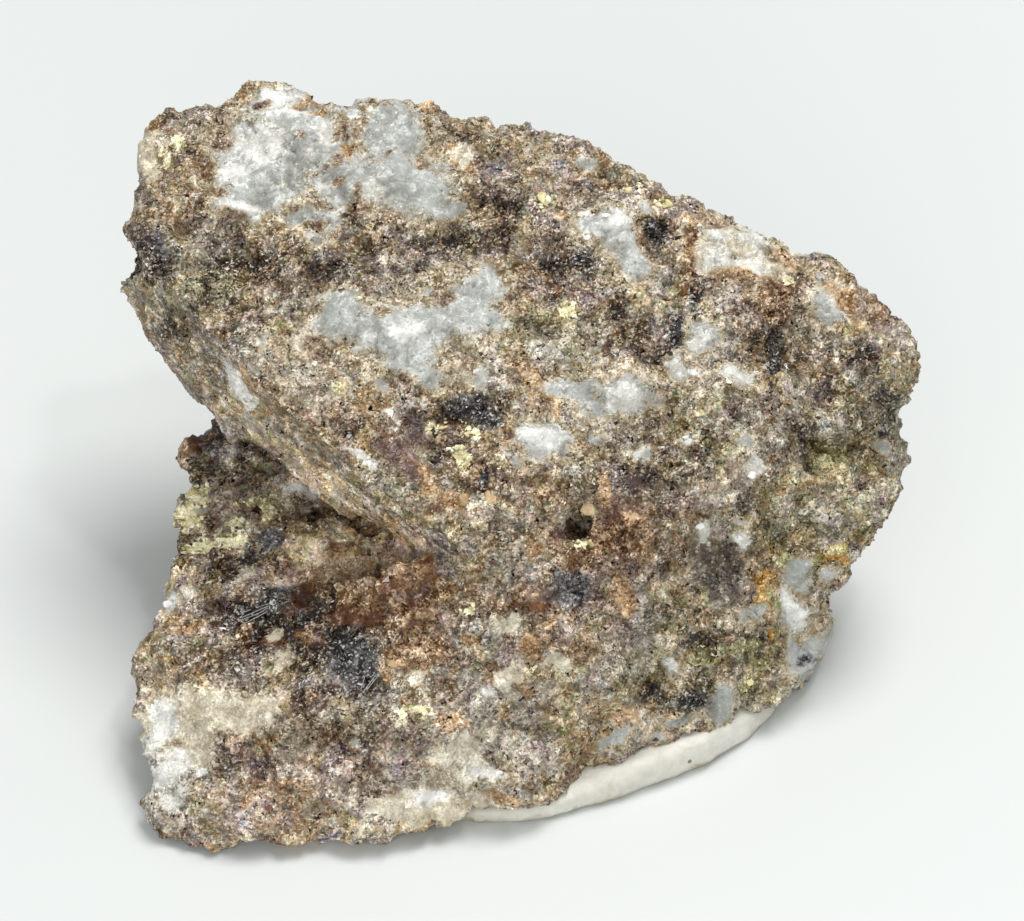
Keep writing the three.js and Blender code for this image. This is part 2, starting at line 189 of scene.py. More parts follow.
# The minerals and tints that show, each as blots of [across, up, half length, half width, turn],
# in millimetres and degrees.
blots = {
    "calcite": [
        (-15.4, 18.5, 2.78, 1.95, 0), (-15, 16.4, 3.48, 1.67, 0), (-12.4, 18.9, 2.37, 2.51, 0),
        (-13.9, 21.4, 2.78, 1.11, 0), (-10.8, 16.7, 1.95, 1.81, 0), (-10, 18.6, 1.11, 2.09, 0),
        (-7.2, 19.5, 2.23, 2.23, 0), (-6.4, 16.8, 3.34, 2.37, -10), (-4, 15.4, 1.53, 0.9, 0),
        (-9.7, 16.8, 1.67, 1.53, 0), (-9.6, 21.2, 0.97, 0.63, 0), (-16.3, 15.2, 2.09, 0.9, 0),
        (-12.4, 14.3, 2.51, 0.63, 6), (-11.8, 13.1, 1.11, 0.56, 0), (-10.2, 8.6, 1.95, 1.67, 0),
        (-7.6, 7.8, 3.06, 1.81, 0), (-6.2, 6.5, 2.64, 1.67, -20), (-4.9, 5.2, 1.81, 0.9, -35),
        (-2.5, 8.9, 2.78, 1.81, 0), (-1.7, 10.6, 1.81, 1.11, 0), (-4.8, 10.1, 0.97, 0.63, 0),
        (-4.9, 8.1, 1.67, 1.39, 0), (5.6, 13.7, 2.09, 1.25, -25), (7.1, 12.2, 1.53, 1.18, -35),
        (5.9, 14.9, 0.77, 0.63, 0), (4.7, 17.8, 0.97, 0.56, -30), (8, 14.9, 0.7, 0.7, 0),
        (11.4, 7.5, 1.04, 1.6, 0), (10.4, 5, 1.25, 0.63, 0), (13.4, 5.1, 1.25, 0.77, 0),
        (3.2, 4, 2.37, 0.84, -8), (6.5, 3.6, 2.23, 1.18, 0), (2, 1.2, 2.37, 1.25, -10),
        (-1.9, 5.1, 0.7, 0.9, 0), (18.5, 11, 0.7, 0.63, 0), (19.4, 9, 1.53, 0.97, 0),
        (10.3, 1.4, 0.63, 0.56, 0), (13.7, 0.9, 0.77, 0.84, 0), (-14.9, 7.5, 0.42, 0.56, 0),
        (-20.5, -8.7, 0.63, 0.7, 0), (12.3, -14.9, 1.53, 0.97, 10), (9.6, -12.6, 0.7, 0.7, 0),
        (17, -9.3, 1.11, 1.67, -20), (17.8, -11.1, 0.56, 0.7, 0), (21.9, 0.8, 0.63, 0.56, 0),
        (7.8, 0.9, 0.63, 0.56, 0), (6.4, -16.6, 0.97, 0.49, 20), (9.1, -16.8, 0.84, 0.49, 0),
        (-9.8, 5.3, 0.56, 0.35, 0), (-8, 4.5, 0.63, 0.49, 0), (0.5, -0.1, 0.84, 0.49, 0),
        (-18.7, -2.9, 0.78, 0.36, 0), (4.8, 2.9, 1.68, 0.66, -8), (5.3, 1.4, 0.72, 0.54, 0),
        (14.1, -3.8, 0.54, 0.42, 0), (17, -9.5, 0.9, 1.44, 8), (17.5, -11.7, 1.02, 1.08, 0),
        (12.5, -14.3, 1.08, 1.32, 0), (-1.9, 10.4, 1.56, 0.78, 0), (-9.4, -16.7, 0.42, 0.36, 0),
        (17.5, -12.5, 1.2, 0.84, 0), (14.3, -9.1, 1.32, 0.66, 20), (17.6, -6.7, 0.9, 1.08, 0),
        (19.1, -6.9, 1.02, 0.48, 15), (18.2, -10.7, 0.66, 0.9, 0), (-11.6, 20.6, 1.32, 0.84, 20),
        (-13, 21.4, 2.04, 0.72, 8), (6, -17.1, 1.2, 0.42, 30), (10.2, -15.7, 1.2, 0.48, 25),
        (-13.2, 20.3, 2.64, 0.78, 0), (-9.6, 19.9, 0.84, 0.6, 0), (-7.6, 16.2, 1.44, 0.78, 0),
    ],
    "milk": [
        (-11.4, 19.9, 0.91, 1.17, 0), (-14.5, 21.8, 1.68, 0.52, 0), (-6.2, 7.7, 1.68, 0.52, 5),
        (-8.4, 7.3, 0.78, 0.39, 0), (-11.2, 9.7, 0.78, 0.32, 0), (-4.8, 10.2, 0.58, 0.39, 0),
        (5.8, 14.9, 0.52, 0.52, 0), (4.6, 13.3, 0.39, 0.39, 0), (13.4, 5.2, 0.91, 0.58, 0),
        (11.8, -4.1, 0.45, 0.65, 0), (13.8, -5.1, 0.52, 0.65, 0), (14.3, -0.8, 0.52, 0.84, 0),
        (-1.9, -18.7, 1.68, 0.65, -12), (-16.6, 4.3, 1.56, 0.52, -53), (-9.4, 0.2, 1.56, 0.52, -45),
        (10.3, 1.4, 0.52, 0.39, 0), (-1.7, 5.3, 0.45, 0.65, 0), (18.5, 11, 0.45, 0.45, 0),
        (-10.2, 14.9, 0.58, 0.45, 0), (6.5, 3.9, 1.04, 0.45, 0), (1.1, 4.8, 0.32, 0.39, 0),
        (-15, 18.6, 1.5, 1.2, 0), (-16.6, 17.3, 1.26, 0.84, 0), (-15.7, 15.2, 1.98, 0.54, 0),
        (-12.5, 18.1, 0.6, 0.48, 0), (-11.4, 16.4, 0.72, 0.3, 35), (-11.2, 15.6, 0.78, 0.24, 10),
        (-13.7, 16.3, 0.36, 0.3, 0), (-10.9, 14.6, 0.84, 0.3, 15), (-9.5, 20.9, 0.54, 0.36, 0),
        (-8.4, 15.9, 0.96, 0.84, 0), (-18.8, -1.6, 0.66, 0.48, 0), (-20.3, -8.4, 0.54, 0.72, -20),
        (14.3, -0.7, 0.48, 0.66, 0), (11.6, -4.3, 0.54, 0.66, 0), (13.7, -5, 0.84, 0.42, 0),
        (9.6, -12.5, 0.54, 0.54, 0), (17, -9.1, 0.48, 0.9, 10), (-1.5, -13.9, 0.78, 0.48, 0),
        (-0.1, 0.1, 0.6, 0.36, 0), (1.7, 1.4, 1.8, 0.72, -12), (-10.9, 9.6, 0.72, 0.36, 20),
        (6.5, 3.1, 1.32, 0.48, -12), (10.7, 5, 0.72, 0.36, -15), (13.6, 4.9, 0.96, 0.54, 0),
        (-12.7, -1.8, 1.44, 0.42, -12), (-20.2, -18.6, 1.2, 1.56, -15), (-21.2, -16.9, 0.54, 0.96, 0),
        (-19.3, -20.2, 0.72, 0.48, 0), (-18.4, -18.5, 0.48, 0.54, 0), (-16.8, 4.5, 0.48, 1.44, 32),
        (17.2, -9.1, 0.72, 1.68, 8), (12.6, 13.3, 1.02, 0.6, -20), (14.4, 11.8, 0.84, 0.42, -26),
        (6, 14, 1.08, 0.72, -35), (6.6, 3.5, 1.56, 0.78, -12), (2, 4.5, 0.84, 0.36, -30),
        (11.2, 7.3, 0.48, 1.02, -10), (4.4, 14.9, 0.54, 0.36, 0), (7.1, 3.1, 1.14, 0.54, -20),
        (-4.8, -20.4, 1.32, 0.54, 0), (-20.8, -15.7, 0.54, 1.32, 0), (-20, -17.3, 0.6, 0.84, 0),
        (-14.4, 21.1, 1.8, 0.72, 5), (10.1, 5.3, 0.66, 0.42, 0), (19.8, 9.4, 0.54, 0.78, 0),
        (13.3, 5.2, 0.9, 0.48, 0), (14.4, -0.5, 0.36, 0.78, 0), (-19.9, -20.5, 0.72, 0.9, 0),
        (11.8, -4, 0.42, 0.66, 20), (-12.7, 20.8, 1.2, 0.48, 0), (-15.8, 3.1, 0.24, 0.84, -40),
        (-16.8, 4.5, 0.3, 0.84, -30), (12.6, 12.5, 0.6, 0.36, 0), (13.8, 11.5, 0.96, 0.48, -12),
        (14.7, 13, 1.8, 0.84, -28), (12.6, 11.9, 0.84, 0.84, 0),
    ],
    "stain": [
        (-7.6, 8.9, 0.84, 0.6, 0), (-3.8, 9.9, 0.96, 0.54, 0), (-5.2, 18, 0.72, 0.54, 0),
        (-6.7, 14.5, 0.96, 0.42, 0), (7.8, 12.8, 0.54, 0.96, 35), (-0.2, 1.7, 0.6, 0.66, 0),
        (-2.5, 5.9, 0.6, 0.72, 0), (15.5, 12.5, 1.2, 0.54, -25), (12, 14.2, 1.2, 0.54, -20),
        (14.2, 10.6, 2.04, 0.48, -5), (-16.9, 14.8, 0.96, 0.48, 0), (-12.1, 7.2, 0.84, 0.6, 0),
        (-6.7, 4.5, 0.96, 0.54, 0), (-10.1, 19.9, 0.48, 0.96, 0), (-9.1, 20, 1.14, 0.48, 51),
        (-10.6, 18, 0.6, 0.3, 40), (-11.2, 17.5, 0.42, 0.36, 0), (-11.9, 16.9, 0.54, 0.24, 40),
        (-12.9, 19.4, 0.6, 0.42, 0), (-14.9, 21.1, 0.54, 0.54, 0), (-13.9, 21, 0.42, 0.18, 0),
        (-17.4, 19.2, 0.96, 0.72, 0), (-17.8, 16, 0.84, 0.42, 0), (-18.5, 17.6, 0.54, 0.9, 0),
        (-13.3, 14.8, 0.54, 0.3, 0), (-12, 13.9, 0.66, 0.36, 0), (-9.4, 15.1, 0.84, 0.66, 0),
        (-7.6, 14.2, 0.84, 0.54, 0), (-10.6, 16.5, 0.48, 0.36, 0), (-9.4, 15.9, 0.48, 0.36, 0),
        (-7.4, 18.5, 0.6, 0.24, 25), (-8.2, 17.8, 0.48, 0.24, 0), (-6.7, 14.6, 0.72, 0.42, 0),
        (-3.7, 10, 0.48, 0.42, 0), (-0.4, 1.6, 0.42, 0.54, 0), (1.7, 3.2, 0.72, 0.54, -20),
        (3.7, -2.9, 0.42, 0.54, 0), (-15, -2.9, 0.54, 0.48, 0), (-18.1, -3.5, 0.42, 0.48, 0),
        (-20.2, -16.7, 0.54, 0.36, 0), (-10.6, 18, 0.48, 0.72, 35), (-14.5, 13.8, 0.84, 0.48, 0),
    ],
    # paleAndPaintedLight is partly paler rock and partly painted light, where the ledge and the trough
    # under the overhang lie in shade
    "paleAndPaintedLight": [
        (-12.7, -2.1, 5.4, 1.8, 0), (-17.8, -15.3, 4.8, 2.64, 0), (-19.3, 5.1, 1.2, 3.6, 35),
        (-15.1, 2.1, 0.96, 3, 42), (-10.9, -1.2, 0.96, 3, 42), (7.7, -12.3, 3.6, 2.4, 0),
        (-5.5, -18.6, 5.4, 2.4, 0), (13.7, 12.9, 4.2, 2.04, -26), (16.7, -9.6, 2.4, 2.4, 0),
        (-12.7, -20.4, 6, 2.4, 0), (-10.9, -6, 3.6, 1.2, 0), (6.5, -15.6, 3.6, 1.8, 0),
        (0.8, -13.5, 2.16, 2.04, 0), (-3.4, -17.7, 2.4, 1.8, 0), (0.8, -17.7, 2.4, 1.92, 0),
        (-7.6, -21.9, 3.6, 1.2, 0), (17.6, -0.9, 2.16, 2.04, 0), (21.8, 7.5, 1.8, 1.56, 0),
        (-3.4, 11.7, 1.68, 1.08, 0), (13.2, -2.5, 0.84, 0.54, 0), (5, 7.5, 1.32, 1.32, 0),
        (8.3, -15.8, 2.64, 0.6, 10), (4.1, 17.1, 0.78, 0.66, 0), (-0.7, -18, 3.6, 2.4, 0),
        (-6.7, -21.9, 3.6, 1.32, 0), (-12.7, -21.3, 3, 1.44, 0), (13.4, -1.8, 2.16, 1.8, 0),
        (5.3, -12, 2.16, 2.04, 0), (17.6, -9.3, 2.04, 2.64, 0), (17.3, -13.8, 1.92, 1.8, 0),
        (13.4, -0.9, 2.4, 2.04, 0), (13.4, -5.1, 2.16, 1.8, 0), (-16.9, 3.9, 0.72, 1.8, -40),
        (8, -16.5, 3, 0.84, 27), (-3.4, 11.9, 2.04, 1.32, 0), (5.3, 7.8, 2.4, 2.04, 0),
        (21.6, 7.8, 1.56, 1.44, 0), (-11.5, 3.5, 2.4, 1.32, -42),
    ],
    # paintedLight is painted light: it lifts places that lie in shade, under the overhang and along the
    # foot that faces down; a few blots only lighten the rock
    "paintedLight": [
        (-11.6, -5.4, 3.72, 2.76, 0), (-7.4, -5.2, 2.76, 2.04, 0), (-12, -1.3, 1.56, 1.44, 0),
        (-20.8, -9, 0.96, 1.8, 0), (-12.7, -2.4, 0.96, 0.72, 0), (13.5, -1.1, 1.32, 1.2, 0),
        (-3.4, 11.9, 1.08, 0.66, 0), (17.6, -9.7, 0.96, 1.56, 0), (17.4, -13.8, 1.2, 0.84, 0),
        (8.3, -15.8, 3, 0.72, 10), (-3.4, -21.1, 3.72, 0.9, 0), (-9.3, -4.1, 1.44, 0.9, -20),
    ],
    "cream": [
        (-17.8, -15.1, 3.84, 1.44, 4), (-19.3, -17.1, 2.04, 1.44, 0), (14, 12.7, 3.48, 1.56, -27),
        (12.2, 11.9, 2.04, 0.84, -20), (19.1, 10.2, 1.8, 0.96, 0), (-1.9, 5.1, 1.56, 0.84, -20),
        (-12.7, 7.5, 1.32, 0.6, 0), (-4.9, -20.9, 5.04, 1.08, -5), (-19.6, -8.4, 0.72, 0.48, 0),
        (-0.4, -9.6, 1.32, 0.72, 10), (2.9, -12, 1.2, 0.72, 0), (-21.7, 18.6, 0.84, 1.8, 0),
        (-4.3, 2.3, 0.54, 0.54, 0), (-16.1, -7, 0.84, 0.6, 0), (-18.8, -7.9, 0.78, 0.54, 0),
        (-13.9, -12.2, 1.08, 0.6, 0), (-0.3, -12.7, 1.02, 0.96, 0), (-12.1, 20.7, 0.96, 0.72, 0),
        (-14.2, -10.1, 0.78, 0.72, 20), (-18.4, -15.1, 2.76, 1.44, -12), (-20.5, -15.7, 1.08, 1.8, 0),
        (-3.4, -17.8, 1.68, 1.08, 0), (-5.4, -13.2, 0.84, 0.6, -20), (-14.9, 6.9, 0.48, 0.96, 0),
        (-3.2, 18.2, 0.6, 0.84, 0), (-4.3, -21.3, 2.64, 0.84, 0), (-21.4, -16.5, 0.96, 1.2, -15),
        (13.8, 12.6, 2.64, 1.2, -26), (12.2, 11.3, 1.2, 0.6, 0), (-3.4, -21, 2.64, 0.78, 0),
        (-2.6, -18.5, 1.44, 0.96, 0),
    ],
    "veil": [
        (-13.6, 18, 5.4, 4.56, 0), (-7, 17.7, 4.56, 3.6, 0), (-6, 7.8, 7.08, 3.36, -5),
        (5.6, 13.7, 3.24, 2.64, -30), (4.8, 3.4, 4.92, 2.16, -5), (11.3, 6.6, 2.04, 3.48, 0),
        (-20.4, -19.2, 2.04, 3.84, 0), (-3.7, -20.1, 5.76, 1.8, -5), (-2.5, -17.1, 3.6, 2.04, 0),
        (17.3, -8.4, 1.8, 3, 0), (12.5, -14.7, 3.6, 1.44, 10), (19.4, 9.3, 2.64, 1.8, 0),
        # the blot at (-13, -2.4), on the ledge in shade under the overhang, is painted light; the one at
        # (8.3, -15.8), along the foot that faces down, is partly the foot's pale rim and partly painted
        # light
        (7.7, -9.6, 0.84, 3, 0), (-13, -2.4, 2.16, 1.08, 10), (7.4, -11.7, 3, 1.8, 0),
        (16.7, -13.2, 1.8, 1.2, 0), (-12.7, 4.8, 3.6, 1.8, -35), (2.9, 6.6, 1.8, 1.2, 0),
        (1.1, -6, 2.4, 1.2, 0), (8.9, 11.4, 1.08, 0.84, 0), (8.3, -15.8, 2.4, 0.54, 10),
        (-13.4, -16.9, 0.84, 1.56, 0), (-3.4, -17.8, 1.8, 1.2, 0), (17.3, -13.3, 1.68, 1.08, 0),
        (13.4, -1.2, 2.16, 2.16, 0), (-3.4, 11.9, 1.8, 1.08, 0), (4.7, 7.5, 1.8, 1.56, 0),
    ],
    "crust": [
        (-19.9, 18.6, 0.54, 0.36, 0), (2, 15.8, 0.48, 0.42, 0), (9.1, 15.4, 0.42, 0.42, 0),
        (7.7, 16.2, 0.36, 0.36, 0), (16.7, 10.8, 0.42, 0.42, 0), (-2.4, -8.7, 0.48, 0.42, 0),
        (-5.2, -15.1, 0.96, 0.3, 0), (3.6, 9.2, 0.84, 0.54, 0), (-18.7, -1.8, 0.84, 0.66, 0),
        (-19.6, -3.5, 0.78, 0.84, 0), (-17.4, -4.7, 1.56, 0.54, -5), (-18.5, -5.4, 0.54, 0.42, 0),
        (-16.6, -3.7, 0.36, 0.72, 0), (-14.4, -2.9, 0.48, 1.08, 0), (-15.4, -2.2, 0.6, 0.48, 0),
        (-2.6, 1.6, 0.36, 0.42, 0), (-4.3, 2.2, 0.48, 0.42, 0), (-3.3, 0.2, 0.48, 0.54, 0),
        (-2.5, -8.8, 0.54, 0.36, 0), (4.4, -4.9, 0.96, 0.24, -10), (-12.6, -5.6, 0.48, 0.36, 0),
        (-18.8, -1.8, 0.9, 0.72, 0), (-19.4, -3.6, 0.84, 0.9, 0), (-17.8, -4.8, 1.32, 0.54, -5),
        (-6.3, -15.2, 0.42, 0.42, 0), (-20.7, 17.7, 0.36, 0.48, 0), (-19, -5.3, 0.84, 0.42, 10),
    ],
    "moss": [
        (13.8, -11.1, 0.9, 0.6, 0), (15.1, -12.4, 1.08, 0.6, 0), (14.3, -13.6, 0.6, 0.72, 0),
        (15.8, -10.8, 0.36, 0.54, 0), (11.3, -11.7, 0.96, 0.6, 0), (19.6, -5.3, 1.08, 0.54, 25),
        (16.7, -6, 0.84, 0.48, 0), (18.6, -6, 0.48, 0.96, -20), (16.1, -8.3, 0.36, 0.72, -20),
        (19.2, -0.1, 1.44, 0.72, 0),
    ],
    "rust": [
        (-4.9, 21.1, 0.72, 0.48, 0), (-15.7, 4.8, 0.42, 1.32, 35), (-6.7, -12, 0.6, 0.48, 0),
        (-3.7, -15.6, 0.72, 0.48, 0), (4.3, -19.1, 0.6, 0.42, 0), (-0.1, 1.8, 0.6, 0.42, 0),
        (-18.3, -23.1, 1.14, 0.42, 0), (-13.3, -22.8, 2.4, 0.42, 0), (-1, -20.4, 0.96, 0.48, 0),
        (-12.9, 21.2, 0.48, 0.36, 0), (-16.1, 21.9, 0.48, 0.3, 0), (-12, 21.7, 0.42, 0.3, 0),
        (7.7, -3.7, 0.54, 0.54, 0), (10.7, 10.2, 0.84, 0.6, 0), (-3.7, -2.4, 1.32, 0.72, -40),
        (-19.3, 0.9, 0.48, 0.66, 0), (-9.3, -4.1, 1.32, 0.78, -20), (-10.5, -5.3, 0.84, 0.6, -50),
        (-19.3, -9.8, 1.08, 0.6, 0), (-7.3, -12.4, 0.36, 1.08, -5), (-4.9, -1.4, 1.32, 0.66, -40),
        (7.3, -3.5, 0.96, 0.78, -20), (1.4, -5.7, 0.84, 0.84, 0), (1.5, -11.4, 0.9, 1.2, 0),
        (6.6, -8.5, 0.54, 1.56, 0), (10.8, 12.5, 0.42, 2.16, 0), (-0.1, 1.7, 0.48, 0.54, 0),
        (7.7, 12.9, 0.6, 0.54, -30), (1.4, 3.6, 0.42, 0.66, 0), (11.6, 14.3, 0.9, 0.36, 20),
        (15.8, 12.6, 0.84, 0.48, -30), (13.7, 10.9, 2.04, 0.42, -5), (-16.1, 21.8, 0.48, 0.3, 0),
        (-12.5, 21.5, 0.78, 0.24, 20), (-17.2, 14.8, 0.6, 0.24, 30), (-6.8, -6.3, 0.48, 0.36, 0),
        (5.6, -1.8, 0.6, 1.08, 0), (1.2, 4.9, 0.66, 1.08, 40), (1.9, 3.3, 0.6, 0.78, 30),
        (-0.5, 1.7, 0.42, 0.54, 0), (1.7, 3.2, 0.72, 0.48, -20), (10.7, 14.6, 0.72, 0.36, 20),
        (16.4, 12.7, 0.6, 0.54, 0), (3.1, 14.6, 0.42, 0.48, 0), (14, 11.1, 1.8, 0.42, -5),
        (-6.7, 0.3, 0.48, 0.36, 0), (-15.7, 4.7, 0.42, 1.2, 35), (20.3, 9.6, 1.2, 0.72, -20),
        (19.1, 10.5, 0.72, 0.48, 0), (-3.5, -16, 0.6, 0.6, 0), (-13.6, -18.9, 0.54, 0.36, 0),
        (14, 10.7, 2.04, 0.36, -4), (16.1, 12.3, 0.6, 0.54, -30), (12.6, 14.2, 0.96, 0.36, 20),
        (-3.7, 18.8, 0.48, 0.36, 0), (-2.6, 17.5, 0.42, 0.42, 0), (-18.7, 17.7, 0.48, 0.84, 0),
        (-0.4, 1.6, 0.48, 0.9, 0), (2, 3.4, 0.54, 0.48, 0), (2.6, 2.8, 0.42, 0.6, 0),
        (-11.6, 21.1, 0.84, 0.42, 20), (-10, 18.6, 0.42, 1.2, 20), (3.6, -19.6, 0.96, 0.36, 35),
        (-0.1, -20.5, 0.72, 0.36, 10), (1, -11.1, 0.9, 1.02, 0), (-5.3, -0.6, 0.42, 0.84, 40),
        (-9.6, 18.9, 0.6, 0.72, 40), (-21.7, 19.9, 0.72, 0.48, 0), (-14.6, 3.1, 0.24, 0.84, -40),
        (16.7, 11.9, 0.42, 0.36, -30), (2.8, -9.7, 0.84, 0.54, 0), (-2.5, -10.8, 0.72, 0.48, 0),
    ],
    "ochre": [
        (15.9, -7.6, 0.48, 0.6, 0), (16.3, -6.9, 0.42, 0.42, 0), (14.9, -8.5, 0.48, 0.6, 0),
        (19.4, -5.6, 0.96, 0.6, 25), (15.4, -10.8, 0.36, 0.6, 0), (15.9, -7.4, 0.78, 0.84, 0),
        (14.9, -8.6, 0.6, 0.48, 50), (19.6, -5.3, 1.02, 0.54, 25), (15.8, -7.3, 0.9, 1.02, 0),
        (16.5, -7.4, 0.72, 0.84, 0), (15.5, -8.6, 0.6, 0.48, 50),
    ],
    "amber": [
        (-7.2, -8.4, 4.2, 2.64, -12), (1.4, -8.3, 2.04, 1.08, 0), (-12.4, -3.1, 2.04, 0.9, 0),
        (6.4, -4.5, 2.64, 2.04, 0), (20.3, 9.6, 3.36, 1.68, -15), (2.9, -6, 3, 1.8, 0),
        (-5.5, -11.4, 2.4, 1.44, 0), (-2.5, -0.6, 1.2, 0.84, 0), (15.5, 9.6, 1.2, 2.04, 0),
        (-7.6, -9.1, 2.64, 1.92, -10), (-15.7, -10.8, 0.84, 1.02, 0), (-11.8, -14.3, 0.54, 0.54, 0),
        (-11.3, -7.7, 0.96, 0.6, 0), (6.6, -3.5, 2.4, 1.8, 0), (0.8, -7, 1.32, 0.9, 0),
        (-5.5, 1.4, 0.84, 0.6, 0), (10.9, 12.2, 0.54, 1.92, 0), (7.7, 12.3, 0.6, 0.54, -30),
        (-12.7, -14.5, 1.32, 0.42, 5), (-8.5, -9.1, 1.56, 1.08, 0), (4.7, -11.5, 1.56, 1.08, 0),
        (-4.3, -2.6, 0.54, 0.78, -40), (-6.2, -10.6, 0.48, 0.72, 0), (-1.1, -12.5, 0.72, 0.9, 0),
        (-3.7, -7.4, 0.72, 0.36, 0), (0, -8.3, 1.02, 0.48, 0), (-2.5, -7.3, 0.84, 0.54, -10),
        (2.9, -8.7, 0.84, 0.54, 0), (-1.2, -8.4, 0.84, 0.54, -10), (0.6, -6.1, 0.84, 0.54, 0),
    ],
    "dark": [
        (8.6, 13.8, 1.2, 0.84, 0), (3.8, 11.7, 1.92, 0.84, 0), (-11.2, 11.4, 1.68, 0.72, 0),
        (-16.3, 11.4, 3, 1.08, 10), (-1, 15.9, 0.84, 0.54, 0), (11, 9.6, 0.84, 1.08, 0),
        (15.6, 7.5, 0.72, 1.44, 0), (16.1, 5.7, 0.72, 0.54, 0), (22.4, 4.2, 0.72, 0.6, 0),
        (-16.6, 0.8, 1.44, 0.54, -20), (11.1, -14.1, 1.02, 1.62, 0), (8.3, -14.6, 0.96, 0.66, 0),
        (4.1, -3.8, 0.48, 0.54, 0), (-13.1, -9.1, 3, 1.44, 10), (-8.9, -13.4, 1.02, 0.9, 0),
        (-21.3, 0.8, 0.6, 0.42, 0), (17.6, 1.4, 1.44, 1.56, 0), (-3.6, 13.2, 2.64, 0.84, 0),
        (6.6, 9.6, 1.02, 1.44, 0), (-21.7, 12.2, 0.96, 1.44, 0), (-20.7, 8, 0.6, 1.08, 30),
        (-18.4, -0.6, 1.8, 0.6, -10), (20.9, 6.6, 0.96, 1.2, 0), (7.7, -0.6, 1.8, 0.72, 0),
        (11.3, 1.2, 0.72, 1.2, 0), (-17.9, 1.1, 1.08, 0.66, 10), (-16.7, -8.8, 1.44, 0.54, 0),
        (-3.5, 3.1, 0.6, 0.54, 0), (-1.9, -1.2, 0.48, 0.84, 0), (3.9, -3.8, 0.6, 0.42, 0),
        (10.8, 9.7, 0.48, 1.08, 0), (15.8, 7.2, 0.78, 1.68, 0), (22.7, 4.1, 0.6, 0.48, 0),
        (8.6, -14.6, 0.96, 0.9, 0), (10.7, -14.4, 0.72, 1.08, 0), (11.3, -11.1, 1.08, 0.84, 0),
        (15.2, -7, 0.42, 0.6, 0), (12.5, -10, 0.54, 0.48, 0), (8.5, 13.8, 1.14, 0.78, 0),
        (4, 11.9, 0.84, 0.72, 0), (9.7, 7.4, 0.6, 1.56, 0), (15.7, 5.9, 0.9, 0.96, 0),
        (10.9, 12.5, 0.36, 1.56, 0), (-13.6, -6, 0.96, 0.48, 0), (-15.2, -8.9, 2.64, 0.72, 12),
        (-15.4, -10.8, 0.72, 1.2, 0), (-9.7, -10.2, 1.56, 0.84, 0), (-2.5, 2.9, 2.04, 1.02, -8),
        (-12.7, -12.5, 1.32, 0.84, 0), (-15, -2.9, 0.54, 0.48, 0), (-16.9, -4.3, 0.66, 0.36, 0),
        # the blots at (-17.8, 1.1) and (-17.9, 1) are partly a dark crystal and partly painted shade in
        # the recess under the slab's tip
        (-18.1, -3.5, 0.48, 0.54, 0), (-17.8, 1.1, 1.2, 0.78, 10), (-0.1, 15.3, 0.84, 1.08, 0),
        (-4.5, 4.5, 0.6, 0.48, 0), (22.7, 9.6, 0.48, 0.6, 0), (-15.7, -6.4, 2.64, 0.78, 5),
        (-17.8, -5.8, 0.72, 0.6, 0), (-0.4, 3.5, 0.6, 0.48, 0), (-19.8, -5.5, 0.6, 0.96, 0),
        (-12.7, -10.8, 1.8, 0.72, -10), (-15, 21.1, 0.42, 0.36, 0), (-0.4, 13.9, 0.72, 1.8, 0),
        (-4.9, 2.2, 0.9, 0.72, 0), (-9.9, -11.4, 0.48, 1.08, 0), (2, -19.5, 0.66, 0.36, 30),
        (-17.9, 1, 1.2, 0.72, 10), (-21.7, 11.4, 0.96, 0.84, 0), (-7.6, 14, 1.56, 0.42, 0),
        (-9.8, 14.6, 0.72, 0.54, 0), (-16, -9.5, 1.8, 0.84, 0), (-12.7, -14.4, 0.84, 0.6, 0),
        (-5.8, 3.9, 0.72, 0.36, 0),
    ],
    "jet": [
        (-9.5, -12.1, 1.92, 2.04, 0), (-14.3, -4.9, 1.14, 0.6, 0), (-14.5, -8.5, 2.04, 0.72, 20),
        (-1.6, 2.4, 0.78, 0.6, 0), (3.7, -7.6, 1.56, 1.44, 0), (-1.9, -1.2, 0.42, 0.78, 0),
        (-12, 13.9, 0.54, 0.3, 0), (-15.6, -6, 0.96, 0.48, 0), (10.7, -14.4, 0.72, 0.96, 0),
        (-1.7, 2.5, 1.14, 0.78, 0), (8.5, 13.7, 0.9, 0.6, 0), (10.8, 9.7, 0.42, 0.84, 0),
        (9.7, 7.4, 0.48, 1.44, 0), (4, 11.9, 0.72, 0.6, 0), (15.7, 5.9, 0.72, 0.84, 0),
        (-2.4, 3.2, 1.68, 1.02, -8), (17.8, -11.8, 0.54, 0.6, 0), (-15.7, -5.3, 0.54, 0.42, 0),
    ],
    "sarcolite": [
        (-12.1, -3, 0.9, 0.6, 0), (-9.4, -3.9, 0.84, 0.54, 0), (-10.3, -5.1, 0.84, 0.54, 0),
        (1.7, -8.1, 1.32, 0.84, 0), (11.3, 11.9, 1.08, 0.84, 0), (20, 9.6, 2.04, 1.08, -20),
        (-10.9, 19.1, 0.48, 1.68, 20), (-3.7, -2.5, 0.9, 0.6, 0), (6.5, -2.8, 1.68, 0.96, 0),
        (-6.6, 0.2, 2.52, 1.02, -40), (6, -3.1, 1.2, 0.72, 40), (7.7, -1.2, 0.72, 0.54, 0),
        (-5.3, 1.7, 1.44, 0.9, -38), (0.7, -6.9, 1.08, 0.66, 0), (3, -4.3, 0.84, 0.48, 10),
        (-9.9, -11.5, 0.54, 1.2, 0),
    ],
    "smoke": [
        (12.5, -6.6, 1.56, 2.04, 18), (-10.3, -11.7, 1.44, 0.84, 0), (-11.6, -8.4, 0.96, 0.6, 0),
        # the blot at (-17.9, 1.2) is partly dark glass and partly painted shade in the recess under the
        # slab's tip
        (-17.9, 1.2, 1.14, 0.72, 10),
    ],
    "resin": [
        (-8.4, -9.6, 0.9, 0.66, 0), (-6.8, -7.8, 1.44, 0.9, -10), (-5, -6.5, 0.66, 1.02, 0),
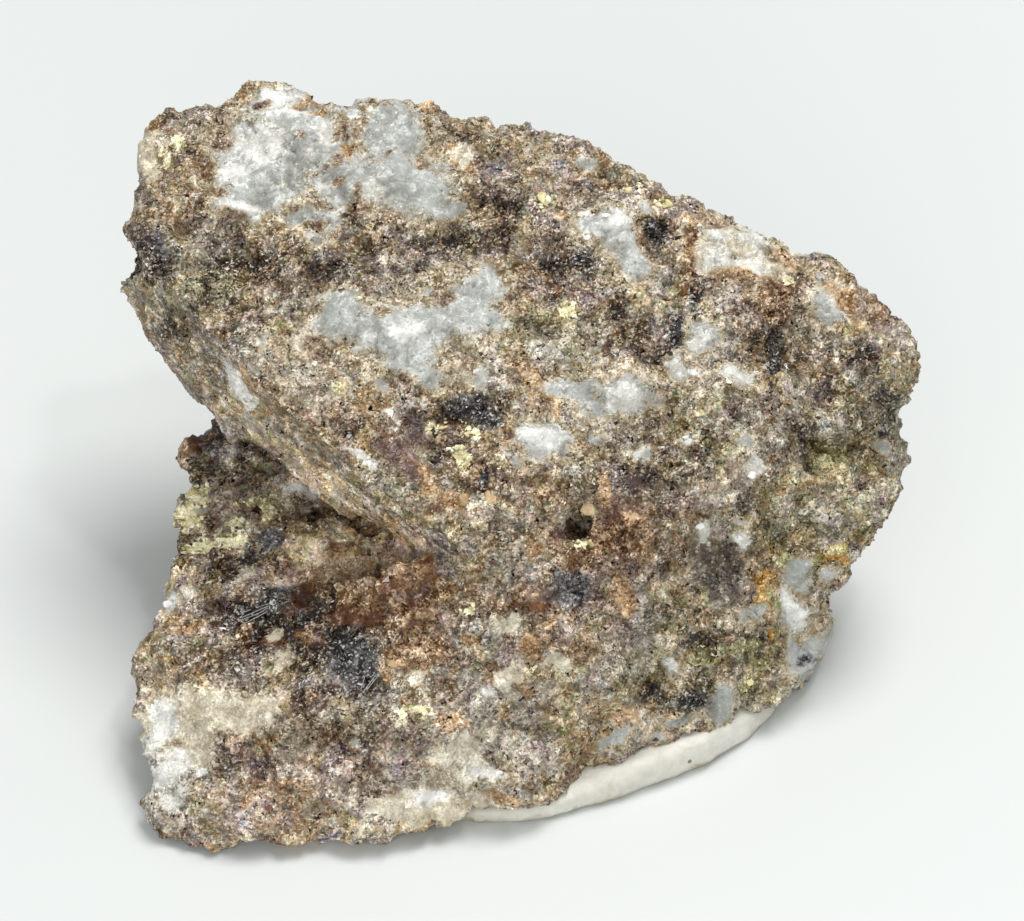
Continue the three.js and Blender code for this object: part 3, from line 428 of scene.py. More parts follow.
        (-10, -8.9, 1.08, 0.72, 0), (-12.7, -8.2, 1.56, 0.72, 10), (-14.3, -10.8, 1.32, 0.72, 0),
        (-12, -10.8, 1.08, 0.72, 0), (-5.8, -9.5, 0.96, 0.48, 20), (-8.6, -9.4, 1.08, 0.72, 20),
        (-7.5, -7.4, 0.9, 0.78, 0), (-6.1, -8, 0.72, 0.96, 0), (1.5, -8.5, 0.9, 0.36, -10),
        (-8.6, -4.2, 0.54, 0.6, 0), (-19.4, 0.8, 0.48, 0.6, 0), (-8.6, -9.5, 1.32, 0.72, 15),
        (-6.1, -7.8, 1.2, 0.72, 0), (-18.5, 1.3, 1.2, 0.72, 30),
    ],
    "shade": [
        (-19.9, 12.9, 3.36, 1.8, 5), (-10.9, 11.9, 4.8, 1.2, 0), (-6.4, -3.6, 2.88, 0.84, -42),
        (-12.7, -10.2, 5.4, 3.36, 0), (-3.7, 12.9, 3.6, 1.08, 0), (-7, -8.4, 3.6, 2.4, 0),
        (16.7, 7.2, 2.4, 1.8, 0), (21.5, 2.4, 3, 3, 0), (-8.8, -14.4, 2.4, 1.8, 0),
        (-13.3, 16.6, 1.32, 1.08, 0), (10.7, -14.4, 2.4, 1.44, 0), (-13.6, 16.6, 1.8, 0.84, 0),
        (-10.3, 17.4, 0.84, 1.56, -40), (-16, 7.5, 1.92, 1.56, 0), (9.2, 7.5, 2.4, 2.16, 0),
        (13.7, 7.5, 2.04, 1.8, 0), (3.6, 11.7, 2.64, 1.56, 0), (0.8, 15.9, 1.56, 1.08, 0),
        (-3.4, 3.3, 1.8, 1.68, 0), (9.2, 3.3, 1.8, 1.44, 0), (13.4, 3.3, 1.8, 1.32, 0),
        (5, -0.9, 2.04, 1.56, 0), (9.2, -0.9, 1.44, 1.08, 0), (-16, -9.1, 2.04, 1.32, 0),
        (-11.5, -13.2, 2.52, 2.04, 0), (8.6, 13.7, 0.96, 1.08, 0), (-12.1, -3.1, 1.68, 0.54, -10),
        (-4, -9.7, 1.08, 1.02, 0), (8.8, -3.2, 0.84, 0.72, 0), (-7.6, 16.1, 2.04, 1.32, 0),
        (-3.4, -1.1, 2.04, 1.8, 0), (-3.6, -4.9, 1.68, 1.44, 0), (-10.9, -0.1, 1.08, 0.96, -40),
        (-20.6, 7.5, 1.8, 2.04, -50), (-0.4, -4.8, 1.8, 1.44, 0), (-19.6, -11.4, 1.8, 1.2, 0),
        (-9.8, -10.1, 1.56, 0.84, 0), (-4, 0.3, 1.56, 1.08, 0), (12.8, -9.5, 1.68, 1.2, 0),
        (9.2, -9.5, 1.68, 1.56, 0), (-16, -9.3, 1.68, 1.2, 0), (-0.1, 15.3, 1.08, 1.32, 0),
        (-11.8, -13.8, 1.8, 1.2, 0), (-2.5, 2.8, 1.92, 1.2, 0), (-16, -6, 2.64, 1.44, 0),
        (-15.7, -9.6, 2.4, 1.56, 0), (-15.7, -13.3, 2.04, 1.2, 0), (-7.4, -1.1, 1.56, 1.56, 0),
        (-3.4, -1.2, 1.32, 1.68, 0), (-5.4, 1.7, 1.8, 1.32, 0), (0.7, -6.9, 1.44, 0.84, 0),
        (-18, 1.1, 1.56, 1.08, 0), (-18.7, 5.3, 1.8, 2.4, -40), (-12.7, -14.4, 1.56, 1.2, 0),
        (-2, -9, 2.4, 1.44, 0), (-3, -10.3, 1.44, 0.96, 0), (-6.6, -15.7, 1.32, 0.78, 0),
        (0.5, -6, 1.2, 0.72, 0),
    ],
    "purple": [
        (-12.7, -9.5, 4.8, 2.76, 5), (-7.9, -6, 3.6, 2.4, 0), (6.5, -6, 3.6, 3, 0),
        (1.7, 10.5, 3, 1.56, -20), (-14.9, -19.8, 3, 2.4, 0), (14.6, 10.5, 2.4, 2.04, -20),
        (-4.3, 1.2, 2.04, 2.4, 40), (8.4, -1.5, 1.44, 0.96, 0), (-4, -9.7, 1.44, 1.2, 0),
        (0.8, -7, 1.56, 1.08, 0), (-15.4, -3, 0.66, 0.48, 0), (5.3, 9.6, 1.8, 1.8, 0),
        (5.3, -6, 3.36, 3, 0), (7.7, -9.6, 2.64, 2.4, 0), (2.9, -9.6, 2.4, 2.04, 0),
        (5.3, -9.6, 3, 2.4, 0), (-15.1, -8.4, 4.2, 3, 0), (-9.7, -18.3, 3.96, 2.04, 0),
        (10.7, -1.2, 3.6, 3, 0),
    ],
    "olive": [
        (20.9, 0.6, 3.6, 3.6, 0), (16.1, -12, 3.6, 3, 0), (8.9, -13.2, 4.2, 1.8, 0),
        (17, -3.6, 3.6, 3.6, 0), (-19, 10.2, 3, 1.8, 0), (23, 3, 1.8, 2.4, 0), (11.3, 0.6, 3.6, 3, 0),
        (2.9, 7.8, 3.6, 1.8, 0), (16.7, -13.8, 2.4, 1.2, 0), (5.1, -10.4, 1.08, 1.44, 0),
        (-10.5, -8.9, 1.44, 0.6, 0), (-12.1, -3.1, 1.68, 0.6, 0), (19.7, -1.8, 2.4, 1.8, 0),
        (-10.8, -4.8, 3.24, 2.04, 0), (9.2, -9.5, 1.8, 1.68, 0),
    ],
    "tan": [
        (-19.9, 16.2, 2.4, 3, 0), (-18, -14.7, 4.8, 2.4, 0), (19.4, 9, 3.6, 2.4, 0),
        (-9.4, 2.4, 3.6, 1.8, -40), (-20.8, -12.8, 1.5, 2.04, 0), (-0.7, -4.9, 1.56, 1.56, 0),
        (-13.6, 6.6, 2.4, 1.56, -40), (-2.8, -3.6, 1.2, 2.4, 40), (0.5, -1.2, 2.04, 1.44, 0),
        (19.7, 9.7, 2.04, 1.32, 0), (-11.5, 3.6, 3.36, 1.68, -42),
    ],
}
blotShape = {"reach": 1.35, "fullWidth": 1.2, "narrowest": 0.6}  # narrow blots are fainter
wideMinerals = ("calcite", "paleAndPaintedLight", "paintedLight", "veil", "shade", "purple", "olive", "tan", "amber")
smoothMinerals = ("calcite", "milk", "cream", "smoke", "resin", "sarcolite")
# On the faces that are turned away the minerals lie at random, some in wide patches and the
# others in small ones. A higher value under "rare" is rarer.
hiddenPatches = {
    "turnedAway": (-0.15, 0.1),  # facing where they are all at random, and where none is
    "wide": 0.0042,
    "small": 0.0024,
    "finer": (2.5, 0.4),  # how much smaller the second noise is, and its share
    "edge": (-0.2, 0.4),
    "usual": 0.35,
    "rare": {
        "stain": 0.6, "moss": 0.6, "jet": 0.65, "paintedLight": 0.9, "calcite": 0.45, "milk": 0.75,
        "crust": 0.75, "rust": 0.75, "ochre": 0.95, "smoke": 0.8, "resin": 0.8,
    },
}
grainCover = {  # loose grains lie everywhere, fewer of them on the smooth minerals
    "most": 0.9,
    "fewer": 0.75,
    "smooth": (0.2, 0.5),
    "smoothForChips": (0.2, 0.45),
}


def blotValue(spots, blotList):  # 1 in the middle of a blot, 0 from a little outside its edge
    value = np.zeros(len(spots))
    for across, up, length, width, turn in blotList:
        angle = math.radians(turn)
        x = spots[:, 0] - across
        y = spots[:, 1] - up
        along = (x * math.cos(angle) + y * math.sin(angle)) / length
        aside = (y * math.cos(angle) - x * math.sin(angle)) / width
        faintest = blotShape["narrowest"]
        strength = faintest + (1 - faintest) * min(1.0, width / blotShape["fullWidth"])
        value = np.maximum(value, (blotShape["reach"] - np.hypot(along, aside)) * strength)
    return np.clip(value, 0, 1)


def rockRelief(points, spots, facing, side):  # how far each point rises, in metres
    size, height = rockShape["lumps"]
    rise = height * softNoise(points, size, 3)
    for name, kind in (("blocks", 20), ("grains", 40), ("sugar", 60)):
        size, height = rockShape[name]
        rise += height * brokenFacets(points, size, kind) * (1 - sideFace["calm"] * side)
    size, height = rockShape["ribs"]
    way = sideFace["ribWay"]
    flat = points - np.outer(points @ way, way) * sideFace["drawnOut"]
    rise += height * side * (softNoise(flat, size, 9) + 0.6 * softNoise(flat, size / 2.3, 10))
    across, up, radius = rockShape["pit"]
    pit = np.hypot(spots[:, 0] - across, spots[:, 1] - up)
    return rise - rockShape["pitDepth"] * np.exp(-((pit / radius) ** 2)) * (facing > 0)


def storeMinerals(mesh, points, spots, facing):
    warped = spots.copy()
    for axis in (0, 1):
        for reach, size, kind in rockShape["bends"]:
            warped[:, axis] += reach * softNoise(points, size, kind + axis)
    front = between(facing, *hiddenPatches["turnedAway"])
    finer, finerShare = hiddenPatches["finer"]
    starts, full = hiddenPatches["edge"]
    for kind, (mineral, blotList) in enumerate(blots.items()):
        size = hiddenPatches["wide" if mineral in wideMinerals else "small"]
        hidden = softNoise(points, size, 30 + kind)
        hidden += finerShare * softNoise(points, size / finer, 50 + kind)
        limit = hiddenPatches["rare"].get(mineral, hiddenPatches["usual"])
        hidden = between(hidden, limit + starts, limit + full)
        storeValues(mesh, mineral, blotValue(warped, blotList) * front + hidden * (1 - front))


def makeRock():
    mesh = fineCopy("rock", rockShape["cell"], rockShape["smoothing"])
    points = meshArray(mesh, "co")
    normals = meshArray(mesh, "normal")
    spots = acrossAndUp(points)
    facing = normals @ toEye
    side = between(normals @ sideFace["outward"], *sideFace["squarely"])
    side *= between(points[:, 2], *sideFace["foot"])
    rise = rockRelief(points, spots, facing, side)
    points = points + normals * rise[:, None]
    storePoints(mesh, points)
    storeMinerals(mesh, points, spots, facing)
    glassy = np.max([meshValues(mesh, mineral) for mineral in smoothMinerals], axis=0)
    storeValues(mesh, "side", side)
    # height is kept for painted shade in the relief's low places and painted light on its tops
    storeValues(mesh, "height", np.clip(rise / rockShape["fullHeight"], -1, 1))
    smoothHere = between(glassy, *grainCover["smoothForChips"])
    storeValues(mesh, "chips", meshValues(mesh, "dark") * (1 - smoothHere))
    smoothHere = between(glassy, *grainCover["smooth"])
    storeValues(mesh, "loose", grainCover["most"] - grainCover["fewer"] * smoothHere)
    return mesh


rockMesh = makeRock()
print("rock surface:", len(rockMesh.polygons) * 2, "triangles")


# Nodes
def addNode(tree, kind, settings=None, inputs=None):
    node = tree.nodes.new(kind)
    for name, value in (settings or {}).items():
        setattr(node, name, value)
    for name, value in (inputs or {}).items():
        if isinstance(value, bpy.types.NodeSocket):
            tree.links.new(value, node.inputs[name])
        else:
            node.inputs[name].default_value = value
    return node


def mathNode(tree, operation, first, second, clamp=False):
    settings = {"operation": operation, "use_clamp": clamp}
    return addNode(tree, "ShaderNodeMath", settings, {0: first, 1: second}).outputs[0]


def plus(tree, first, second):
    return mathNode(tree, "ADD", first, second)


def times(tree, first, second):
    return mathNode(tree, "MULTIPLY", first, second)


def centred(tree, value):  # from 0 to 1, out of -0.5 to 0.5
    return mathNode(tree, "ADD", value, 0.5, True)


def lessOf(tree, value, share=1.0):  # 1 less this share of the value
    return mathNode(tree, "SUBTRACT", 1.0, times(tree, value, share))


def vectorNode(tree, operation, first, second, output="Vector"):
    settings = {"operation": operation}
    return addNode(tree, "ShaderNodeVectorMath", settings, {0: first, 1: second}).outputs[output]


def scaled(tree, vector, amount):
    settings = {"operation": "SCALE"}
    return addNode(tree, "ShaderNodeVectorMath", settings, {0: vector, "Scale": amount}).outputs[0]


def attributeOf(tree, name):
    return addNode(tree, "ShaderNodeAttribute", {"attribute_name": name}).outputs["Fac"]


def objectPlace(tree):
    return addNode(tree, "ShaderNodeTexCoord").outputs["Object"]


def noiseNode(tree, place, scale, detail=2.0, roughness=0.5):
    inputs = {"Vector": place, "Scale": scale, "Detail": detail, "Roughness": roughness}
    return addNode(tree, "ShaderNodeTexNoise", inputs=inputs)


def rampOf(tree, value, stops):
    node = addNode(tree, "ShaderNodeValToRGB", inputs={"Fac": value})
    elements = node.color_ramp.elements
    for place, colour in stops[1:-1]:
        elements.new(place)
    for element, (place, colour) in zip(elements, stops):
        element.position = place
        element.color = (*colour, 1)
    return node.outputs["Color"]


def mixed(tree, share, first, second, blending="MIX"):
    node = addNode(tree, "ShaderNodeMix", {"data_type": "RGBA", "blend_type": blending}, {0: share})
    for socket, value in ((6, first), (7, second)):
        if isinstance(value, bpy.types.NodeSocket):
            tree.links.new(value, node.inputs[socket])
        else:
            node.inputs[socket].default_value = (*value, 1)
    return node.outputs[2]


def stepOf(tree, value, low, high):
    settings = {"interpolation_type": "SMOOTHSTEP"}
    inputs = {"Value": value, "From Min": low, "From Max": high}
    return addNode(tree, "ShaderNodeMapRange", settings, inputs).outputs["Result"]


def fractal(tree, size, detail, roughness, shift=0.0):  # about -0.5 to 0.5, size in metres
    place = vectorNode(tree, "ADD", objectPlace(tree), (shift, shift, shift))
    noise = noiseNode(tree, place, 1 / size, detail, roughness).outputs["Fac"]
    return mathNode(tree, "SUBTRACT", noise, 0.5)


def cellsOf(tree, size):  # one random colour for each crystal of about this size, in metres
    place = objectPlace(tree)
    bend = noiseNode(tree, place, 1.2 / size).outputs["Color"]
    place = vectorNode(tree, "ADD", place, scaled(tree, bend, 0.9 * size))
    return addNode(tree, "ShaderNodeTexVoronoi", inputs={"Vector": place, "Scale": 1 / size})


def partOf(tree, cells, part="Red"):  # one part of the cells' colour, from -0.5 to 0.5
    colour = cells.outputs["Color"]
    value = addNode(tree, "ShaderNodeSeparateColor", inputs={"Color": colour}).outputs[part]
    return mathNode(tree, "SUBTRACT", value, 0.5)


def blend(tree, sockets, shares):  # the sum of these sockets, each by its share
    value = None
    for name, share in shares.items():
        part = times(tree, sockets[name], share)
        value = part if value is None else plus(tree, value, part)
    return value


# The rock's material. Colours here are even-step values, which are raised to toneCurve before
# they reach a shader. The hues and the single colours, other than the side's, multiply what is
# under them.
toneCurve = 2.2
rockTones = {
    "ground": [
        (0.0, (0.30, 0.265, 0.235)), (0.2, (0.44, 0.39, 0.34)), (0.36, (0.57, 0.49, 0.405)),
        (0.5, (0.555, 0.525, 0.455)), (0.64, (0.55, 0.515, 0.475)), (0.8, (0.66, 0.62, 0.55)),
        (1.0, (0.78, 0.745, 0.67)),
    ],
    "hues": [
        (0.0, (0.925, 0.95, 1.065)), (0.17, (1.045, 0.955, 0.97)), (0.34, (0.99, 0.99, 1.0)),
        (0.5, (0.99, 1.005, 0.985)), (0.72, (1.095, 0.99, 0.85)), (1.0, (0.97, 1.035, 0.88)),
    ],
    "veil": [(0, (0.502, 0.481, 0.435)), (0.5, (0.674, 0.659, 0.616)), (1, (0.828, 0.816, 0.775))],
    "rim": [(0, (0.523, 0.435, 0.317)), (0.5, (0.716, 0.629, 0.481)), (1, (0.872, 0.822, 0.689))],
    "calcite": [
        (0, (0.51, 0.512, 0.485)), (0.3, (0.60, 0.605, 0.585)), (0.6, (0.68, 0.688, 0.67)),
        (1, (0.82, 0.828, 0.816)),
    ],
    "cream": [(0, (0.58, 0.52, 0.42)), (0.45, (0.79, 0.75, 0.655)), (1, (0.94, 0.925, 0.865))],
    "milk": [
        (0, (0.66, 0.64, 0.585)), (0.35, (0.79, 0.78, 0.74)), (0.6, (0.865, 0.865, 0.84)),
        (1, (0.95, 0.945, 0.92)),
    ],
    "crust": [
        (0, (0.46, 0.41, 0.29)), (0.3, (0.74, 0.69, 0.50)), (0.55, (0.93, 0.90, 0.73)),
        (1, (0.985, 0.975, 0.88)),
    ],
    "moss": [(0, (0.34, 0.31, 0.20)), (0.5, (0.60, 0.575, 0.38)), (1, (0.80, 0.775, 0.54))],
    "rust": [(0, (0.502, 0.359, 0.232)), (0.5, (0.681, 0.537, 0.374)), (1, (0.85, 0.743, 0.596))],
    "ochre": [(0, (0.50, 0.37, 0.19)), (0.5, (0.75, 0.55, 0.25)), (1, (0.93, 0.76, 0.40))],
    "amber": [
        (0, (0.18, 0.125, 0.085)), (0.4, (0.39, 0.275, 0.165)), (0.7, (0.565, 0.42, 0.265)),
        (1, (0.76, 0.635, 0.45)),
    ],
    "sarcolite": [
        (0, (0.22, 0.165, 0.15)), (0.4, (0.37, 0.28, 0.25)), (0.7, (0.49, 0.37, 0.30)),
        (1, (0.71, 0.56, 0.42)),
    ],
    "smoke": [(0, (0.17, 0.145, 0.12)), (0.5, (0.26, 0.23, 0.195)), (1, (0.40, 0.365, 0.32))],
    "resin": [
        (0, (0.26, 0.15, 0.065)), (0.35, (0.35, 0.205, 0.09)), (0.65, (0.52, 0.33, 0.15)),
        (1, (0.76, 0.55, 0.30)),
    ],
    "paintedGlint": [(0, (0.689, 0.629, 0.533)), (0.5, (0.828, 0.793, 0.716)), (1, (0.934, 0.929, 0.898))],
    "stain": [
        (0, (0.28, 0.21, 0.17)), (0.4, (0.46, 0.37, 0.29)), (0.65, (0.62, 0.53, 0.41)),
        (1, (0.80, 0.72, 0.58)),
    ],
    "jet": [(0, (0.16, 0.16, 0.17)), (0.5, (0.32, 0.32, 0.335)), (1, (0.60, 0.61, 0.62))],
    "shade": (0.79, 0.79, 0.80),
    "paleAndPaintedLight": (1.15, 1.15, 1.16),
    "paintedLight": (1.5, 1.47, 1.43),
    # side is the striated side face's own grey-brown, partly lightened as painted light for the light it
    # catches from the left
    "side": (0.70, 0.66, 0.59),
    "purple": (0.935, 0.9, 0.93),
    "olive": (0.945, 0.98, 0.90),
    "tan": (1.03, 0.995, 0.925),
}
rockNoise = {  # size in metres, detail and roughness of each, and how far it is shifted
    "soft": (0.0034, 4.0, 0.6),
    "mottle": (0.0008, 5.0, 0.82),
    "edge": (0.0013, 5.0, 0.68, 0.77),
    "hue": (0.0013, 3.0, 0.55, 0.31),
    "kind": (0.0011, 2.0, 0.5, 0.15),
    "cloud": (0.0024, 4.0, 0.55, 0.4),
    "glint": (0.0026, 4.0, 0.7, 0.9),
}
crystalSizes = {"lump": 0.0019, "crumb": 0.0008, "coarse": 0.0004, "fine": 0.00012}
rockBlend = {  # what each value is made of
    "kind": {"lumpKind": 0.53, "soft": 1.05, "crumbKind": 0.28, "kind": 0.7},
    "hue": {"hue": 1.9, "lumpHue": 0.5, "crumbHue": 0.24},
    "dark": {"darkPatch": 1.0, "edge": 1.5, "own": 0.3},
    "loose": {"edge": 1.2, "own": 0.2, "fine": 0.15},
    "tone": {"edge": 1.1, "mottle": 0.5},
    "cloudTone": {"cloud": 1.2, "lumpKind": 0.12, "shade": -0.42, "mottle": 0.2},
    # lumpEdge and crumbEdge paint shade at the edges of the lumps, and height paints shade in the
    # relief's low places and light on its tops
    "light": {
        "mottle": 0.88, "soft": 0.1, "own": 0.15, "fine": 0.32, "ribs": 0.8, "height": 0.05,
        "lumpEdge": -0.16, "crumbEdge": -0.24,
    },
    "glint": {"glint": 0.5, "veil": 0.05, "jet": 0.06, "calm": -0.16, "own": 0.12},
    "glintTone": {"own": 0.8, "mottle": 1.2},
}
# The layers of mineral from the lowest to the topmost. Each starts and is full at these values of
# its patches, and "most" is its share there. "still" is how much of the speckle it takes away,
# "cloudy" gives it soft clouds of tone, and "rough" brings the speckle back.
mineralLayers = {
    "amber": {"starts": 0.1, "full": 0.85, "most": 0.9},
    "sarcolite": {"starts": 0.25, "full": 0.6, "most": 0.95, "still": 0.6, "cloudy": True},
    "smoke": {"starts": 0.2, "full": 0.5, "most": 0.9, "still": 0.5, "cloudy": True},
    "resin": {"starts": 0.2, "full": 0.6, "most": 0.92, "still": 1.0, "cloudy": True},
    "ochre": {"starts": 0.2, "full": 0.45, "most": 1.0},
    "veil": {"starts": 0.1, "full": 0.9, "most": 0.5},
    "rim": {"starts": -0.05, "full": 0.42, "most": 0.8, "follows": "calcite"},
    "cream": {"starts": 0.2, "full": 0.65, "most": 0.85, "still": 0.68},
    "calcite": {"starts": 0.22, "full": 0.78, "most": 0.96, "still": 0.92, "cloudy": True},
    "milk": {"starts": 0.2, "full": 0.72, "most": 0.95, "still": 0.8, "cloudy": True},
    "rust": {"starts": 0.25, "full": 0.7, "most": 0.9, "rough": True},
    "jet": {"starts": 0.25, "full": 0.75, "most": 0.85, "rough": True},
    "moss": {"starts": 0.25, "full": 0.7, "most": 0.9, "rough": True},
    "stain": {"starts": 0.25, "full": 0.7, "most": 0.9, "rough": True},
    "crust": {"starts": 0.3, "full": 0.5, "most": 1.0, "still": 0.35, "rough": True},
}
rockLight = {
    "lift": 0.2,
    # peaks lift the lightest crystals, partly as a painted highlight
    "peaks": 1.5,  # how much lighter still the lightest crystals are
    "calmed": 0.8,
    "darkStep": (0.15, 0.75),
    "darkCalmed": 0.7,
    "darkPeaks": 0.35,
    "dark": -0.22,
    "deepest": (0.11, 0.085, 0.07),
    "sideShare": 0.4,
    "ribScale": 2200.0,
    "ribSqueeze": 0.92,
    "glintStep": (0.34, 0.52),
    "glintShare": 0.7,
    "turn": 1.15,  # how far a crystal's face is turned, and how much less where it is calm
    "calmTurn": 1.03,
}


def trueColour(tree, colour):
    return addNode(tree, "ShaderNodeGamma", inputs={"Color": colour, "Gamma": toneCurve}).outputs[0]


def ribsOf(tree):  # noise that is drawn out along the ribs of the side face
    place = objectPlace(tree)
    way = tuple(sideFace["ribWay"] / np.linalg.norm(sideFace["ribWay"]))
    along = vectorNode(tree, "DOT_PRODUCT", place, way, "Value")
    back = scaled(tree, way, times(tree, along, rockLight["ribSqueeze"]))
    place = vectorNode(tree, "SUBTRACT", place, back)
    ribs = noiseNode(tree, place, rockLight["ribScale"], 3.0).outputs["Fac"]
    return times(tree, mathNode(tree, "SUBTRACT", ribs, 0.5), attributeOf(tree, "side"))


def rockSockets(tree, own, fine):  # every value that the rock's colour is blended from
    sockets = {name: fractal(tree, *facts) for name, facts in rockNoise.items()}
    for name in ("lump", "crumb"):
        cells = cellsOf(tree, crystalSizes[name])
        sockets[name + "Kind"] = partOf(tree, cells)
        sockets[name + "Hue"] = partOf(tree, cells, "Green")
        sockets[name + "Edge"] = cells.outputs["Distance"]
    for name in ("shade", "veil", "jet", "height"):
        sockets[name] = attributeOf(tree, name)
    sockets["darkPatch"] = attributeOf(tree, "dark")
    sockets["ribs"] = ribsOf(tree)
    sockets["own"] = own
    sockets["fine"] = fine
    return sockets


def groundColour(tree, sockets):
    kind = centred(tree, blend(tree, sockets, rockBlend["kind"]))
    colour = rampOf(tree, kind, rockTones["ground"])
    # the side face is mixed toward its tone, which is partly painted light
    share = times(tree, attributeOf(tree, "side"), rockLight["sideShare"])
    colour = mixed(tree, share, colour, rockTones["side"])
    hue = centred(tree, blend(tree, sockets, rockBlend["hue"]))
    colour = vectorNode(tree, "MULTIPLY", colour, rampOf(tree, hue, rockTones["hues"]))
    # the last two lift the ground: paleAndPaintedLight partly and paintedLight mostly as painted light
    # over places in shade
    for name in ("purple", "olive", "tan", "shade", "paleAndPaintedLight", "paintedLight"):
        colour = mixed(tree, attributeOf(tree, name), colour, rockTones[name], "MULTIPLY")
    return colour


def layeredColour(tree, sockets, colour):  # the minerals over the ground, and how calm it is there
    loose = blend(tree, sockets, rockBlend["loose"])
    tone = centred(tree, blend(tree, sockets, rockBlend["tone"]))
    cloudTone = centred(tree, blend(tree, sockets, rockBlend["cloudTone"]))
    calm = 0.0
    for name, layer in mineralLayers.items():
        patch = attributeOf(tree, layer.get("follows", name))
        share = stepOf(tree, plus(tree, patch, loose), layer["starts"], layer["full"])
        share = times(tree, share, layer["most"])
        ownTone = rampOf(tree, cloudTone if layer.get("cloudy") else tone, rockTones[name])
        colour = mixed(tree, share, colour, ownTone)
        if layer.get("rough"):
            calm = times(tree, calm, lessOf(tree, share))
        if layer.get("still"):
            calm = mathNode(tree, "MAXIMUM", calm, times(tree, share, layer["still"]))
    return colour, calm


def litColour(tree, sockets, colour, calm):
    # light and dark that leaves the hue alone: each crystal is a little lighter or darker than the next;
    # with it come painted shade at the lumps' edges and in the relief's low places, painted light on its
    # tops, and a painted highlight in the lightest crystals
    dark = stepOf(tree, blend(tree, sockets, rockBlend["dark"]), *rockLight["darkStep"])
    dark = times(tree, dark, lessOf(tree, calm, rockLight["darkCalmed"]))
    light = plus(tree, blend(tree, sockets, rockBlend["light"]), rockLight["lift"])
    light = plus(tree, light, times(tree, times(tree, light, light), rockLight["peaks"]))
    light = times(tree, light, lessOf(tree, calm, rockLight["calmed"]))
    light = times(tree, light, plus(tree, 1.0, times(tree, dark, rockLight["darkPeaks"])))
    light = plus(tree, light, times(tree, dark, rockLight["dark"]))
    light = addNode(tree, "ShaderNodeCombineXYZ", inputs={0: light, 1: light, 2: light}).outputs[0]
    colour = vectorNode(tree, "ADD", colour, light)
    return vectorNode(tree, "MAXIMUM", colour, rockLight["deepest"])


def mineralColour(tree, own, fine):
    # own and fine are numbers from -0.5 to 0.5 that belong to one grain and to one crystal in it
    sockets = rockSockets(tree, own, fine)
    colour, calm = layeredColour(tree, sockets, groundColour(tree, sockets))
    colour = litColour(tree, sockets, colour, calm)
    # painted glints: small bright specks of colour standing for light caught on crystal faces, thicker in
    # some places than in others
    sockets["calm"] = calm
    share = plus(tree, fine, blend(tree, sockets, rockBlend["glint"]))
    share = times(tree, stepOf(tree, share, *rockLight["glintStep"]), rockLight["glintShare"])
    tone = centred(tree, blend(tree, sockets, rockBlend["glintTone"]))
    colour = mixed(tree, share, colour, rampOf(tree, tone, rockTones["paintedGlint"]))
    return trueColour(tree, colour), calm


def bareMaterial(name):
    material = bpy.data.materials.new(name)
    material.use_nodes = True
    tree = material.node_tree
    return material, tree, tree.nodes["Principled BSDF"]


def setFinish(tree, shader, colour, roughness, coat=0.0):
    tree.links.new(colour, shader.inputs["Base Color"])
    shader.inputs["Roughness"].default_value = roughness
    shader.inputs["Coat Weight"].default_value = coat


def rockMaterial():
    material, tree, shader = bareMaterial("rockGround")
    coarse = cellsOf(tree, crystalSizes["coarse"])
    fine = cellsOf(tree, crystalSizes["fine"])
    colour, calm = mineralColour(tree, partOf(tree, coarse), partOf(tree, fine))
    setFinish(tree, shader, colour, 0.36)
    # each crystal's face is turned a little, so that some of them catch the light
    turned = vectorNode(tree, "ADD", coarse.outputs["Color"], fine.outputs["Color"])
    turned = vectorNode(tree, "SUBTRACT", turned, (1.0, 1.0, 1.0))
    calmTurn = times(tree, calm, rockLight["calmTurn"])
    turned = scaled(tree, turned, mathNode(tree, "SUBTRACT", rockLight["turn"], calmTurn))
    normal = addNode(tree, "ShaderNodeNewGeometry").outputs["Normal"]
    normal = vectorNode(tree, "ADD", normal, turned)
    normal = addNode(tree, "ShaderNodeVectorMath", {"operation": "NORMALIZE"}, {0: normal}).outputs[0]
    tree.links.new(normal, shader.inputs["Normal"])
    return material


rockPiece = newPiece("rockSurface", rockMesh)
rockMesh.materials.append(rockMaterial())
print("rock material")


# Grains. Share is how many there are for each value of Mineral, a value of the surface.
grainKinds = {
    "sugarGrains": {
        "Size": 0.00018, "Per Square Metre": 3.6e6, "Sunk": 0.4, "Seed": 11,
        "Mineral": "loose", "Share": 1.0, "Flatness": 0.8,
    },
    "coarseGrains": {
        "Size": 0.00034, "Per Square Metre": 2.0e6, "Sunk": 0.6, "Seed": 12,
        "Mineral": "loose", "Share": 1.0, "Flatness": 0.7,
    },
    "darkGrains": {
        "Size": 0.00024, "Per Square Metre": 2.4e6, "Sunk": 0.4, "Seed": 14,
        "Mineral": "chips", "Share": 1.5, "Flatness": 0.8,
    },
    "crustGrains": {
        "Size": 0.0002, "Per Square Metre": 1.2e7, "Sunk": 0.2, "Seed": 15,
        "Mineral": "crust", "Share": 1.5, "Flatness": 0.8,
    },
}
grainSockets = {
    "Size": "Float", "Per Square Metre": "Float", "Sunk": "Float", "Seed": "Int",
    "Mineral": "String", "Share": "Float", "Flatness": "Float",
}
grainShape = {
    "turn": 6.28,
    "stretch": (0.55, 1.5),
    "wobbleScale": 3000.0,
    "lowest": 0.00002,
}


def randomVector(tree, low, high, seed):
    inputs = {"Min": (low, low, low), "Max": (high, high, high), "Seed": seed}
    settings = {"data_type": "FLOAT_VECTOR"}
    return addNode(tree, "FunctionNodeRandomValue", settings, inputs).outputs["Value"]


